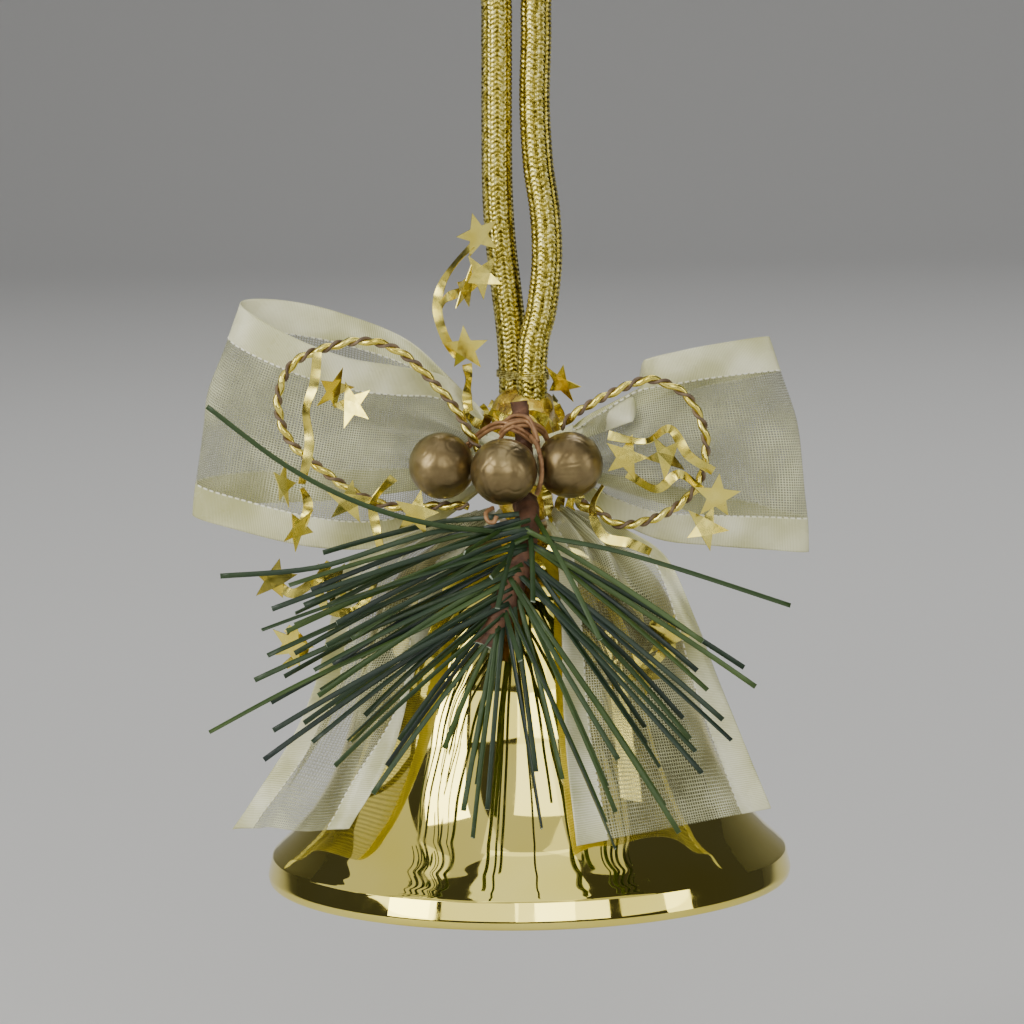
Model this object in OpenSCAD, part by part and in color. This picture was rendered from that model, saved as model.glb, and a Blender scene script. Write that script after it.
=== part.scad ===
// Christmas bell ornament: a polished bell on a doubled woven cord, dressed with an
// organza bow, three berries, a pine sprig and a wired garland of foil stars.
// Millimetres, +Z up, front towards -Y. The origin is the point of the loop that rests on a hook.
// Heights in this file are measured from the plane of the bell's lip, and on_lip() lowers them.

/* [Bell] */
// Outer diameter of the lip
lip_d = 88; // [86:1:90]
// Height of the lip band
lip_h = 4.6; // [4:0.2:4.8]
// Wall thickness of the pressed shell
wall = 0.8; // [0.6:0.1:1]
// Diameter of the hole at the crown
crown_hole_d = 2; // [1.8:0.1:2.4]

/* [Clapper] */
// Diameter of the wire in the pin, link and rod
wire_d = 1.2; // [1:0.1:1.3]
// Diameter of the clapper ball
ball_d = 14; // [10:1:14]
// Drop from the clapper's own pivot to the centre of its ball
clapper_drop = 36; // [30:1:36]

/* [Cord] */
// Diameter of the woven tubular cord
cord_d = 5.3; // [4.6:0.1:5.3]
// Height of the hanging point above the lip
hang_h = 176; // [174:1:178]
// Height of the band that whips the two strands together
band_h = 1.2; // [1:0.2:2.6]

/* [Bow] */
// Thickness of the organza ribbon
ribbon_t = 0.6; // [0.4:0.1:0.8]

/* [Berries] */
// Diameter of each berry
berry_d = 11; // [10:0.5:11]

/* [Sprig] */
// Width of a flat needle
needle_w = 1.2; // [1:0.1:1.6]
// Thickness of a flat needle
needle_t = 0.5; // [0.4:0.1:0.7]
// Diameter of the paper-wrapped sprig stem
sprig_d = 4.4; // [3.6:0.2:4.8]

/* [Garland] */
// Diameter over the two twisted strands of the wire
garland_d = 1.7; // [1.2:0.1:1.8]
// Width of the flat foil strip
strip_w = 1.6; // [1:0.1:1.8]
// Size of a foil star from point to point
star_d = 8; // [6:0.2:8.4]
// Thickness of the foil
foil_t = 0.3; // [0.2:0.1:0.4]

/* [Hidden] */

// Lip band: its thickness at the foot, how far it leans in, its rounded foot, and the step up to the wall.
lip_r = lip_d / 2;
lip_wall = 1.6;
lip_taper = 0.7;
lip_corner = 0.5;
lip_step = 0.25;
lip_inner_drop = 0.4;

// Crown: its height, its flat top, and the washers on both sides of it.
crown_h = 59.6;
crown_flat_r = 5;
washer_r = 4;
washer_t = 0.7;
washer_gap = 0.02;
inside_gap = 0.3;
shell_sides = 96;

// Wire parts: the middle radius of an eye and of the link, and the shank between the pin's eyes.
wire_r = wire_d / 2;
eye_r = 2.2;
link_r = 3;
wire_gap = 0.3;
pin_shank = 6.6;

// Outline of the shell above the lip, as radius and height.
shell_curve = [
    [lip_r - lip_taper - lip_step, lip_h + 0.1], [42, 5.8], [39.6, 8.2], [36, 12.4], [32.6, 18.4],
    [29.6, 27], [27.4, 37], [24.8, 45.4], [20.6, 52], [14, 56.8], [crown_flat_r, crown_h]
];
shell_steps = 40;

// Clapper chain: each pivot is the centre of the wire that the next eye hangs on.
pin_eye_h = 54;
link_pivot_h = pin_eye_h - eye_r;
link_h = link_pivot_h + wire_d + wire_gap - link_r;
clapper_pivot_h = link_h - link_r;
rod_eye_h = clapper_pivot_h + wire_d + wire_gap - eye_r;
ball_h = clapper_pivot_h - clapper_drop;

// The cord's place over the crown, where its two strands stand, the glue's top and the swing's pivot.
cord_x = 0.3;
cord_y = -1.6;
strand_a = [-1.2, 0.6];
strand_b = [1.8, -3.8];
strand_turn = atan2(strand_b[0] - strand_a[0], strand_a[1] - strand_b[1]);
thread_t = 0.3;
band_r = cord_d / 2 + thread_t;
thread_gap = 0.05;
swing_h = 85;

// Outline of the glue, as radius and height, from the top of the washer up.
glue_foot = crown_h + washer_t + 0.1;
glue_top = 81;
glue_curve = [
    [0, glue_foot], [3.2, glue_foot], [4.4, 63], [5.4, 67], [6, 72], [6.2, 76], [6, 79], [5.6, 80.4],
    [5.2, glue_top], [0, glue_top]
];

// Route of the cord: up the left strand, round the hook, and down the right strand.
cord_route = [
    [-1.2, 0.6, 81.1], [-1.2, 0.6, 86], [-1.5, 0.4, 92], [-2.2, 0, 99], [-3, -0.6, 107],
    [-3.4, -1.2, 116], [-3.3, -1.6, 128], [-3.1, -1.6, 140], [-3.2, -1.6, 148],
    [-5.4, -1.6, 154], [-9, -1.6, 160], [-11.8, -1.6, 166], [-11.6, -1.6, 172],
    [-7.2, -1.6, 177], [0, -1.6, 178.6], [7.4, -1.6, 177], [11.8, -1.6, 172],
    [12, -1.6, 166], [9.2, -1.6, 160], [5.8, -1.6, 154], [3.7, -1.6, 148],
    [3.4, -1.6, 140], [3, -1.8, 130], [3.4, -2.4, 120], [4.4, -3, 112],
    [4.6, -3.4, 104], [3.6, -3.6, 96], [2.3, -3.7, 91], [1.8, -3.8, 86], [1.8, -3.8, 81.1]
];

// Lower and upper edge of each ribbon piece, with as many points on one as on the other.
loop_left_low = [
    [-6, -10, 67], [-14, -12.2, 61.5], [-24, -13.8, 58], [-35, -13, 58.2], [-47, -10.4, 60.8],
    [-54.8, -7.4, 63.2], [-47, -4.6, 64.4], [-34, -3.4, 64.6], [-20, -4.6, 66], [-7, -7.2, 68.5]
];
loop_left_high = [
    [-6, -10, 78.4], [-12, -12.2, 85.6], [-20, -13.4, 87.8], [-29, -13.2, 89.6], [-38.5, -11.6, 93.4],
    [-46, -7.4, 98], [-40.5, -4.4, 98.4], [-30, -3.2, 96], [-17.5, -3.8, 90.4], [-6.4, -7.2, 79.4]
];
loop_right_low = [
    [7.6, -10, 67], [14, -12, 62.4], [22, -13.4, 58.6], [31, -12.4, 57.2], [40, -9.8, 56],
    [47.2, -7, 55.2], [40, -4.4, 58], [30, -3.2, 61], [18, -4.4, 65], [8.6, -7.2, 68.5]
];
loop_right_high = [
    [7.6, -10, 77.5], [12, -11.8, 82], [18.6, -13, 87.4], [26, -12, 89.4], [34.6, -9.4, 90.6],
    [41, -6.8, 91], [36, -4.2, 88.6], [28, -3, 86], [17, -4.2, 81.5], [8.6, -7.2, 77]
];
tail_left_outer = [
    [-9, -13.2, 63], [-20, -16.4, 60], [-29, -17, 55.8], [-32.2, -16, 45.4], [-34.9, -11, 34.4],
    [-39.8, -5, 23.2], [-49.8, -1, 8.6]
];
tail_left_inner = [
    [-3, -13.2, 63], [-7, -17, 60], [-12, -20, 56], [-15.4, -24.6, 46], [-18.6, -26.4, 36],
    [-22.4, -27, 26], [-29.4, -27, 13.8]
];
tail_right_inner = [
    [3.4, -13.2, 63], [4.6, -16.6, 60], [5.4, -20, 56], [5.6, -27, 46], [5.6, -30, 36],
    [6.2, -32, 26], [7.6, -37.4, 12.4]
];
tail_right_outer = [
    [9.4, -13.2, 63], [17, -16.2, 60], [23.4, -18.6, 56], [28, -20.4, 46], [31.4, -21, 36],
    [35.2, -21.4, 26], [39.8, -21.4, 14.8]
];

// Pinched middle of the bow: two upright folds, left and right, and the belly below them.
knot_folds = [[-4.6, -10, 71.5], [6, -10, 71.5]];
knot_fold_h = 8.5;
knot_fold_r = 2;
knot_belly = [0.6, -11, 65.6];
knot_belly_r = 4;

berry_spots = [[-13.2, -19, 72], [-3.1, -23.4, 71.4], [7.6, -19, 71.8]];

sprig_route = [
    [0.2, -15.4, 65.4], [0.6, -19.6, 63], [-0.6, -24, 57], [-3.6, -29, 49.6], [-6.6, -31.6, 43.8]
];

garland_left_route = [
    [-7.1, -17.5, 74.3], [-8.7, -17.5, 77.2], [-10.6, -17.6, 80.8], [-13.1, -17.7, 84.1],
    [-19.1, -17.8, 90.2], [-24.8, -17.6, 92.4], [-31.3, -17.4, 91.5], [-37.1, -17.2, 88.9],
    [-39.7, -17.2, 83.3], [-38.4, -17.4, 77.1], [-34.3, -17.6, 72.8], [-27, -18, 67.4],
    [-20.5, -18.4, 65.2], [-14.1, -18.8, 65.4], [-9, -19, 65.3]
];
garland_right_route = [
    [6.2, -15.4, 77.6], [9.6, -16, 80.4], [15.8, -16.2, 83.6], [21, -16.2, 85.2],
    [26, -16.2, 83.2], [28.6, -16.2, 79.8], [30, -16.4, 74.6], [28.8, -16.6, 68.4],
    [25.4, -16.8, 64.6], [20.6, -17, 62.2], [15.4, -17.4, 61.6], [12.6, -17.8, 63.6], [9.4, -18, 65.4]
];

top_strip_routes = [
    [[-9.6, -7, 88], [-11.8, -6.8, 90.6], [-13.2, -6.6, 94], [-13.6, -6.6, 97.4], [-12.6, -6.6, 101],
     [-10.2, -6.6, 104.4], [-7.6, -6.8, 107]],
    [[-13.2, -7.4, 97.2], [-11.7, -7.6, 98.6], [-9.2, -7.8, 99.6]]
];
left_strip_routes = [
    [[-33, -19.6, 91], [-33.6, -20.2, 86], [-35, -20.4, 81.6], [-34.6, -20.6, 76], [-36, -20.6, 69.6]],
    [[-36, -21, 69], [-35, -21.2, 66], [-36.4, -21.2, 62]],
    [[-21, -20.6, 70.4], [-24.4, -20.8, 66.6], [-24, -21, 62], [-23.4, -21.2, 59]],
    [[-8.9, -7.4, 87.4], [-8.7, -10.6, 85], [-8.9, -14.4, 82.6], [-8.6, -15.8, 80.4]],
    [[-9.6, -15, 80.6], [-7.8, -14.2, 78.6], [-6.2, -13.8, 78], [-5.4, -13.6, 79.6]]
];
right_strip_routes = [
    [[14, -18.2, 76.4], [20, -19, 75.4], [24, -19.2, 77.4], [27, -19.4, 73], [31, -19.6, 70.4]],
    [[17, -18.8, 70.2], [21.6, -19.4, 67.6], [25.4, -19.6, 70], [29, -19.8, 67.4]],
    [[13, -19.8, 68.4], [11.3, -20, 65.4], [11.6, -20.2, 62.4], [13.4, -20.2, 59.8], [17.2, -20.2, 58.9],
     [20.6, -20.4, 57.4]]
];
low_strip_routes = [
    [[-41.4, -20, 54.4], [-38, -20.2, 51.6], [-33, -20.6, 53.8], [-29, -20.6, 50.8]],
    [[-31.6, -22.6, 57], [-33.6, -22.8, 53.4], [-32.2, -22.8, 49.4], [-28, -22.8, 48.8], [-25, -22.8, 52],
     [-23.4, -22.6, 56]],
    [[-39, -20.6, 46], [-36, -20.6, 42.6], [-39.4, -20.6, 39.6]],
    [[20.4, -23.8, 46.6], [22.8, -23.8, 43], [20.6, -25, 39.6]]
];

// Share of a star's radius at the notches between its points.
star_waist = 0.42;
// Each star: centre, turn in its own plane, and its tilts about X and Z.
top_stars = [
    [[-6.7, -7.6, 108.7], -18, 12, 16], [[-6.2, -8, 102], 40, -14, 16],
    [[-8.7, -9, 100], 4, 16, 58], [[-9.1, -8.6, 90.1], -2, 10, -12]
];
left_stars = [
    [[-30.4, -20.2, 84.8], 12, 18, 48], [[-27.6, -21, 82.4], 50, -12, -40],
    [[-28.4, -21, 66.6], 8, 14, 12], [[-36.6, -22.2, 62.4], 30, 24, 64],
    [[-39, -20, 69.4], 20, -10, 62], [[-17.4, -25, 65], 16, -20, 10]
];
right_stars = [
    [[16.8, -18.8, 72.8], 20, -16, 10], [[23.2, -20.6, 73], 44, 20, -18],
    [[31.4, -21, 66.4], 6, 8, 4], [[29.6, -19.4, 61.2], 30, -14, 14], [[6.6, -7.6, 84], 24, 30, -30]
];
low_stars = [
    [[-40.8, -21.6, 54.1], 10, 16, 18], [[-31.4, -22, 53.4], 40, -12, 20],
    [[-38.2, -22, 43.4], 22, 10, -20], [[23, -24.8, 44], 16, 10, 12], [[19.4, -26, 38.6], 38, -8, 14]
];

// Wires that hold the berries, and the upper end of the sprig, wrapped in tape.
berry_wire_r = 0.6;
curl_r = 0.45;
taped_end_r = 1.5;
berry_wires = [
    [[-9.6, -15, 74], [-6.4, -15.6, 77], [-3.4, -17.6, 78.4], [-0.4, -18.8, 77.4], [1.8, -18.6, 75.8]],
    [[4.4, -15, 74.6], [3.2, -16.6, 77.2], [0.4, -18.4, 78.6], [-2.4, -18.4, 78], [-3.6, -17.6, 76.4]],
    [[2.6, -20.6, 75.4], [1.2, -18.6, 79], [-1.6, -17.8, 79.4], [-3.4, -16.8, 77.6]]
];
curl_route = [
    [-5, -24.4, 65.6], [-6.1, -25.8, 65], [-5.8, -26.8, 63.8], [-4.9, -26.8, 63.6], [-4.4, -26.4, 64.5]
];
taped_end_route = [[0.4, -15.4, 73], [0.2, -16.2, 76], [-0.1, -16.4, 79], [-0.4, -16.2, 82]];

// Fans of needles. Each is a count, then the first and the last needle's lean from straight down,
// reach, and place along the stem.
left_fans = [[27, [-78, 47, 0.7], [-62, 45, 2.8]], [8, [-62, 40, 2.4], [-38, 34, 3.3]]];
down_fans = [[7, [-24, 29, 3.4], [12, 36, 2.7]]];
right_fans = [[9, [19, 40, 2.8], [42, 48, 2]], [12, [42, 45, 2.2], [64, 45, 1.3]]];
needle_rings = 4;
// Steps that spread the needles' reach, their lean forward and their stray evenly from 0 to 1.
reach_step = 0.618034;
depth_step = 0.569840;
stray_step = 0.754878;
// How widely a needle strays from its fan, in degrees, how far its tip droops, how far out of the stem's
// middle it starts, and how far off the shell it stays at least.
lean_spread = 12;
needle_droop = 2.4;
root_out = 1.2;
needle_lift = 8.2;
lift_spread = 5;
// Needles whose depth share is above this start on the front of the stem, on its far side.
front_share = 0.55;
front_shift = [-1.6, -1.9, 0.6];
stray_needles = [
    [[-1.2, -24, 61.4], [-14, -27.6, 63.4], [-26, -29, 67.2], [-38, -29, 73.6], [-50.5, -29, 83.4]],
    [[1.6, -24.6, 61], [13, -28, 59.2], [25, -30.6, 55.9], [42.6, -31, 49.8]],
    [[-0.6, -22.5, 61.6], [-11.9, -26, 62.4], [-20.2, -29, 60.9], [-33.5, -31, 57.3], [-48.9, -31, 56.2]],
    [[-3, -28.6, 54], [-16.9, -33, 47.4], [-35.8, -36.5, 39.6], [-50.8, -39, 32.2]],
    [[-1.4, -24, 60.9], [-3, -30.6, 56.2], [-4.5, -36, 50.9]],
    [[-2.6, -27, 57.5], [-4, -33.5, 57.2], [-5.4, -40, 56.5]],
    [[-1.5, -21, 62.6], [-5.4, -27.6, 61.4], [-9.6, -34, 59.7]],
    [[0.8, -20, 63.6], [1.2, -28.8, 58], [1.2, -36, 51.9]],
    [[-3.6, -29.5, 50.4], [-2.4, -35, 47], [-1, -40, 43]],
    [[-2.4, -28, 54.6], [4.3, -38, 44.1], [14.3, -42, 27.2]],
    [[1.4, -20, 64.4], [6.4, -30.6, 56.5], [11.8, -38, 45.9]]
];

function unit(v) = v / norm(v);
function mix(a, b, t) = a + (b - a) * t;
// Smooth curve through the points p, at t from 0 to len(p) - 1.
function curve_at(p, t) =
    let (n = len(p) - 1, i = min(floor(t), n - 1), f = t - i)
    let (a = p[max(i - 1, 0)], b = p[i], c = p[i + 1], d = p[min(i + 2, n)])
    0.5 * (2 * b + (c - a) * f + (2 * a - 5 * b + 4 * c - d) * f * f + (3 * b - a - 3 * c + d) * f * f * f);
function smooth_path(p, steps) = [for (i = [0:steps]) curve_at(p, i * (len(p) - 1) / steps)];
function along(p, i) = unit(p[min(i + 1, len(p) - 1)] - p[max(i - 1, 0)]);

// Tube along a path, rx wide across the view and ry deep.
module tube(path, rx, ry, sides) {
    ring = [
        for (i = [0:len(path) - 1])
            let (t = along(path, i), s = unit(cross(t, [0, 1, 0])), n = cross(s, t))
            for (k = [0:sides - 1])
                path[i] + s * rx * cos(360 * (k + 0.5) / sides) + n * ry * sin(360 * (k + 0.5) / sides)
    ];
    last = (len(path) - 1) * sides;
    walls = [
        for (i = [0:len(path) - 2], k = [0:sides - 1])
            let (a = i * sides + k, b = i * sides + (k + 1) % sides)
            each [[a, b, b + sides], [a, b + sides, a + sides]]
    ];
    ends = [[for (k = [sides - 1:-1:0]) k], [for (k = [0:sides - 1]) last + k]];
    polyhedron(points = ring, faces = concat(walls, ends), convexity = 10);
}

// Flat strip with a rectangular section, w across the view and t deep.
module strip(path, w, t) tube(path, w / sqrt(2), t / sqrt(2), 4);

// Sheet between two edge curves, given as points, with a thickness.
module sheet(low, high, t, steps, across) {
    rows = steps + 1;
    cols = across + 1;
    a = smooth_path(low, steps);
    b = smooth_path(high, steps);
    mid = [for (i = [0:steps]) mix(a[i], b[i], 0.5)];
    face = [
        for (side = [-0.5, 0.5], i = [0:steps])
            let (n = unit(cross(along(mid, i), b[i] - a[i])))
            for (j = [0:across]) mix(a[i], b[i], j / across) + n * t * side
    ];
    back = rows * cols;
    skin = [
        for (i = [0:steps - 1], j = [0:across - 1])
            let (p = i * cols + j)
            let (q = back + p)
            each [[p, p + cols, p + 1], [p + 1, p + cols, p + cols + 1],
                  [q, q + 1, q + cols], [q + 1, q + cols + 1, q + cols]]
    ];
    low_side = [
        for (i = [0:steps - 1])
            let (p = i * cols)
            each [[p, back + p, p + cols], [back + p, back + p + cols, p + cols]]
    ];
    high_side = [
        for (i = [0:steps - 1])
            let (p = i * cols + across)
            each [[p, p + cols, back + p], [back + p, p + cols, back + p + cols]]
    ];
    first_side = [for (j = [0:across - 1]) each [[j, j + 1, back + j], [back + j, j + 1, back + j + 1]]];
    last_side = [
        for (j = [0:across - 1])
            let (p = steps * cols + j)
            each [[p, back + p, p + 1], [back + p, back + p + 1, p + 1]]
    ];
    sides = concat(low_side, high_side, first_side, last_side);
    polyhedron(points = face, faces = concat(skin, sides), convexity = 10);
}

module on_lip() translate([0, 0, -hang_h]) children();

// Ring of wire lying in the XZ plane.
module wire_ring(radius) rotate([90, 0, 0]) rotate_extrude($fn = 64)
    translate([radius, 0]) circle(wire_r, $fn = 24);

module star_shape() polygon([
    for (i = [0:9])
        let (r = (i % 2 == 0 ? 1 : star_waist) * star_d / 2)
        [r * sin(i * 36), r * cos(i * 36)]
]);

module foil_star(s) {
    translate(s[0]) rotate([90 + s[2], s[1], s[3]]) linear_extrude(foil_t, center = true) star_shape();
}

module star_strand(routes, stars) {
    for (r = routes) strip(smooth_path(r, 3 * len(r)), strip_w, foil_t);
    for (s = stars) foil_star(s);
}

// How far forward the shell's surface stands at a place.
function shell_front(p) =
    let (r = max(lookup(p[2], [for (q = shell_curve) [q[1], q[0]]]), 17))
    sqrt(max(r * r - p[0] * p[0], 0));
function off_shell(p, lift) = [p[0], min(p[1], -shell_front(p) - lift), p[2]];

// One needle: out from the stem, leaning by the fan's angle, forward by its own share, and drooping.
function needle_path(i, fan) =
    let (share = (i * reach_step) % 1, depth = (i * depth_step + 0.2) % 1)
    let (stray = (i * stray_step) % 1 - 0.5)
    let (own = mix(fan[1], fan[2], (i + 0.5) / fan[0]), lean = own[0] + lean_spread * stray)
    let (reach = own[1] * (0.7 + 0.3 * share), out = unit([sin(lean), -(0.19 + 0.18 * depth), -cos(lean)]))
    let (shift = [front_shift[0] * sin(lean), front_shift[1], front_shift[2]])
    let (start = curve_at(sprig_route, own[2] + 0.7 * (share - 0.5)))
    let (root = start + out * root_out + (depth > front_share ? shift : [0, 0, 0]))
    [for (k = [0:needle_rings])
        let (f = k / needle_rings, lift = needle_lift + lift_spread * depth * f)
        off_shell(root + out * reach * f - [0, 0, needle_droop * f * f], lift)];

module needle_fans(fans) for (fan = fans, i = [0:fan[0] - 1]) strip(needle_path(i, fan), needle_w, needle_t);

module hanging_cord() color("goldenrod") on_lip()
    tube(smooth_path(cord_route, 76), cord_d / 2, cord_d / 2, 8);

module star_strand_top() color("gold") on_lip() star_strand(top_strip_routes, top_stars);

// Gold thread wound round both strands, just above the glue.
module cord_whipping() color("darkgoldenrod") on_lip() translate([0, 0, swing_h - band_h / 2])
    linear_extrude(band_h) difference() {
        union() {
            for (strand = [strand_a, strand_b]) translate(strand) circle(band_r, $fn = 48);
            translate([cord_x, cord_y]) rotate(strand_turn)
                square([2 * band_r, norm(strand_a - strand_b)], center = true);
        }
        for (strand = [strand_a, strand_b]) translate(strand) circle(cord_d / 2 + thread_gap, $fn = 48);
    }

module bell_shell() color("gold") on_lip() rotate_extrude($fn = shell_sides) {
    outer = smooth_path(shell_curve, shell_steps);
    inner = [for (i = [shell_steps:-1:0]) let (t = along(outer, i)) outer[i] + wall * [-t[1], t[0]]];
    lip_band = [
        [lip_r - lip_wall, 0], [lip_r - lip_corner, 0], [lip_r - 0.3 * lip_corner, 0.3 * lip_corner],
        [lip_r, lip_corner], [lip_r - 0.06, 2 * lip_corner], [lip_r - lip_taper, lip_h - lip_corner]
    ];
    polygon(concat(
        lip_band,
        outer,
        [[crown_hole_d / 2, crown_h], [crown_hole_d / 2, crown_h - wall]],
        [for (p = inner) if (p[0] < lip_r - lip_wall && p[1] < crown_h - wall - 0.01) p],
        [[lip_r - lip_wall, lip_h - lip_inner_drop]]
    ));
}

module washer(h) translate([0, 0, h]) difference() {
    cylinder(h = washer_t, r = washer_r, $fn = 48);
    translate([0, 0, -1]) cylinder(h = washer_t + 2, d = crown_hole_d, $fn = 48);
}

module crown_washer() color("goldenrod") on_lip() washer(crown_h + washer_gap);

module inside_washer() color("goldenrod") on_lip() washer(crown_h - wall - washer_t - inside_gap);

// Wire pin with an eye at each end: the upper one in the glue, the lower one for the clapper.
module crown_pin() color("peru") on_lip() {
    translate([0, 0, pin_eye_h]) wire_ring(eye_r);
    translate([0, 0, pin_eye_h + eye_r]) cylinder(h = pin_shank, r = wire_r, $fn = 32);
    translate([0, 0, pin_eye_h + 2 * eye_r + pin_shank]) wire_ring(eye_r);
}

// Hot glue and foil that holds the cord's ends to the crown pin.
module glue_collar() color("darkgoldenrod") on_lip() translate([cord_x, cord_y, 0])
    rotate_extrude($fn = 64) polygon(glue_curve);

module bow_loop_left() color("ivory") on_lip() sheet(loop_left_low, loop_left_high, ribbon_t, 27, 4);

module bow_loop_right() color("ivory") on_lip() sheet(loop_right_low, loop_right_high, ribbon_t, 27, 4);

module bow_tail_left() color("ivory") on_lip() sheet(tail_left_outer, tail_left_inner, ribbon_t, 12, 6);

module bow_tail_right() color("ivory") on_lip() sheet(tail_right_inner, tail_right_outer, ribbon_t, 12, 6);

// Gathered middle of the ribbon, in front of the cord and behind the berries.
module bow_knot() color("beige") on_lip() hull() {
    for (fold = knot_folds) translate(fold)
        cylinder(h = knot_fold_h, r = knot_fold_r, center = true, $fn = 32);
    translate(knot_belly) scale([1, 0.5, 1]) sphere(knot_belly_r, $fn = 32);
}

module berry(i) on_lip() translate(berry_spots[i]) sphere(d = berry_d, $fn = 64);

module berry_left() color("rosybrown") berry(0);

module berry_centre() color("rosybrown") berry(1);

module berry_right() color("rosybrown") berry(2);

// Wires of the berries, coiled above the middle one, its loose curl, and the sprig's taped end behind them.
module berry_stems() color("saddlebrown") on_lip() {
    for (p = berry_wires) tube(smooth_path(p, 4 * len(p)), berry_wire_r, berry_wire_r, 8);
    tube(smooth_path(curl_route, 12), curl_r, curl_r, 6);
    tube(smooth_path(taped_end_route, 8), taped_end_r, taped_end_r, 10);
}

module sprig_stem() color("sienna") on_lip()
    tube(smooth_path(sprig_route, 12), sprig_d / 2, sprig_d / 2, 12);

module needles_left() color("darkgreen") on_lip() needle_fans(left_fans);

module needles_down() color("darkgreen") on_lip() needle_fans(down_fans);

module needles_right() color("darkgreen") on_lip() needle_fans(right_fans);

module needles_stray() color("darkgreen") on_lip()
    for (p = stray_needles) strip(smooth_path(p, 6), needle_w, needle_t);

module garland_loop_left() color("goldenrod") on_lip()
    tube(smooth_path(garland_left_route, 48), garland_d / 2, garland_d / 2, 8);

module garland_loop_right() color("goldenrod") on_lip()
    tube(smooth_path(garland_right_route, 40), garland_d / 2, garland_d / 2, 8);

module star_strand_left() color("gold") on_lip() star_strand(left_strip_routes, left_stars);

module star_strand_right() color("gold") on_lip() star_strand(right_strip_routes, right_stars);

module star_strand_low() color("gold") on_lip() star_strand(low_strip_routes, low_stars);

module clapper_link() color("peru") on_lip() translate([0, 0, link_h]) rotate(90) wire_ring(link_r);

module clapper_rod() color("peru") on_lip() {
    translate([0, 0, rod_eye_h]) wire_ring(eye_r);
    rod_foot = ball_h + ball_d / 2;
    translate([0, 0, rod_foot]) cylinder(h = rod_eye_h - eye_r - rod_foot, r = wire_r, $fn = 32);
}

module clapper_ball() color("darkgoldenrod") on_lip() translate([0, 0, ball_h]) sphere(d = ball_d, $fn = 64);

hanging_cord();
star_strand_top();
cord_whipping();
bell_shell();
crown_washer();
inside_washer();
crown_pin();
glue_collar();
bow_loop_left();
bow_loop_right();
bow_tail_left();
bow_tail_right();
bow_knot();
berry_left();
berry_centre();
berry_right();
berry_stems();
sprig_stem();
needles_left();
needles_down();
needles_right();
needles_stray();
garland_loop_left();
garland_loop_right();
star_strand_left();
star_strand_right();
star_strand_low();
clapper_link();
clapper_rod();
clapper_ball();
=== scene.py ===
# Christmas bell ornament: the looks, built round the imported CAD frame.
# Places are given as in the CAD source: millimetres, with heights above the bell's lip.
import math

import bpy
import numpy as np
from mathutils import Euler, Matrix, Vector


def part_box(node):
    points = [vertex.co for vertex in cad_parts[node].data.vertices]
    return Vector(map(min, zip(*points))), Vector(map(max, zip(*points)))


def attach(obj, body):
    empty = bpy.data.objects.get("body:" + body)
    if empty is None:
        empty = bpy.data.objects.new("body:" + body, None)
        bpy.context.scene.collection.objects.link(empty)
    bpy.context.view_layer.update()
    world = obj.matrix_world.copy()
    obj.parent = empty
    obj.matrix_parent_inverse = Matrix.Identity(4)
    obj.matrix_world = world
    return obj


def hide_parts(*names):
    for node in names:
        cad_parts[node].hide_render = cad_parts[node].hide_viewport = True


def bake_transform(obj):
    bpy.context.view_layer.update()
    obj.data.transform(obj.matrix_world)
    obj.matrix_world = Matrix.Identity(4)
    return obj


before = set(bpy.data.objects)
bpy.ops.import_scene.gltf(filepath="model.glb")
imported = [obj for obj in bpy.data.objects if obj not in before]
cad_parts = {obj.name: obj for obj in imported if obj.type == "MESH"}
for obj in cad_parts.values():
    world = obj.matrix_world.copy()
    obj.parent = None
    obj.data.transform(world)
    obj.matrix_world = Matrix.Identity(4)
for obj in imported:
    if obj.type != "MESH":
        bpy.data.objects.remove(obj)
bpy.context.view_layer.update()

MM = 0.001
LIP = Vector((0, 0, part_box("bell_shell")[0][2]))


def place(points):
    """Millimetres above the lip to metres in the row frame."""
    return np.asarray(points, float) * MM + np.array(LIP)


# ---------------------------------------------------------------- camera, floor and lights

# Fitted to the photo: the lip's ellipse, the berries and the ribbon's ends.
CAMERA_AT = (-1.9, -735.9, 157.3)
CAMERA_PITCH = math.radians(7.4)
CAMERA_ROLL = math.radians(1.0)
LENS = 155.9


def make_camera():
    data = bpy.data.cameras.new("camera")
    data.lens = LENS
    data.sensor_width = 36
    data.clip_start = 0.01
    data.clip_end = 60
    cam = bpy.data.objects.new("camera", data)
    bpy.context.collection.objects.link(cam)
    turn = Euler((math.pi / 2 - CAMERA_PITCH, 0, 0)).to_matrix() @ Matrix.Rotation(-CAMERA_ROLL, 3, "Z")
    cam.matrix_world = Matrix.Translation(place(CAMERA_AT)) @ turn.to_4x4()
    bpy.context.scene.camera = cam


def soft_box(name, at, aim, width, height, watts, colour=(1, 1, 1)):
    data = bpy.data.lights.new(name, "AREA")
    data.shape = "RECTANGLE"
    data.size = width
    data.size_y = height
    data.energy = watts
    data.color = colour
    lamp = bpy.data.objects.new(name, data)
    bpy.context.collection.objects.link(lamp)
    lamp.location = at
    lamp.rotation_euler = (Vector(aim) - Vector(at)).to_track_quat("-Z", "Y").to_euler()


FLOOR_DROP = 60
FLOOR_HALF = 2.2
SWEEP_RADIUS = 1.2
SWEEP_HALF_WIDTH = 4
WALL_H = 3


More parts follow.
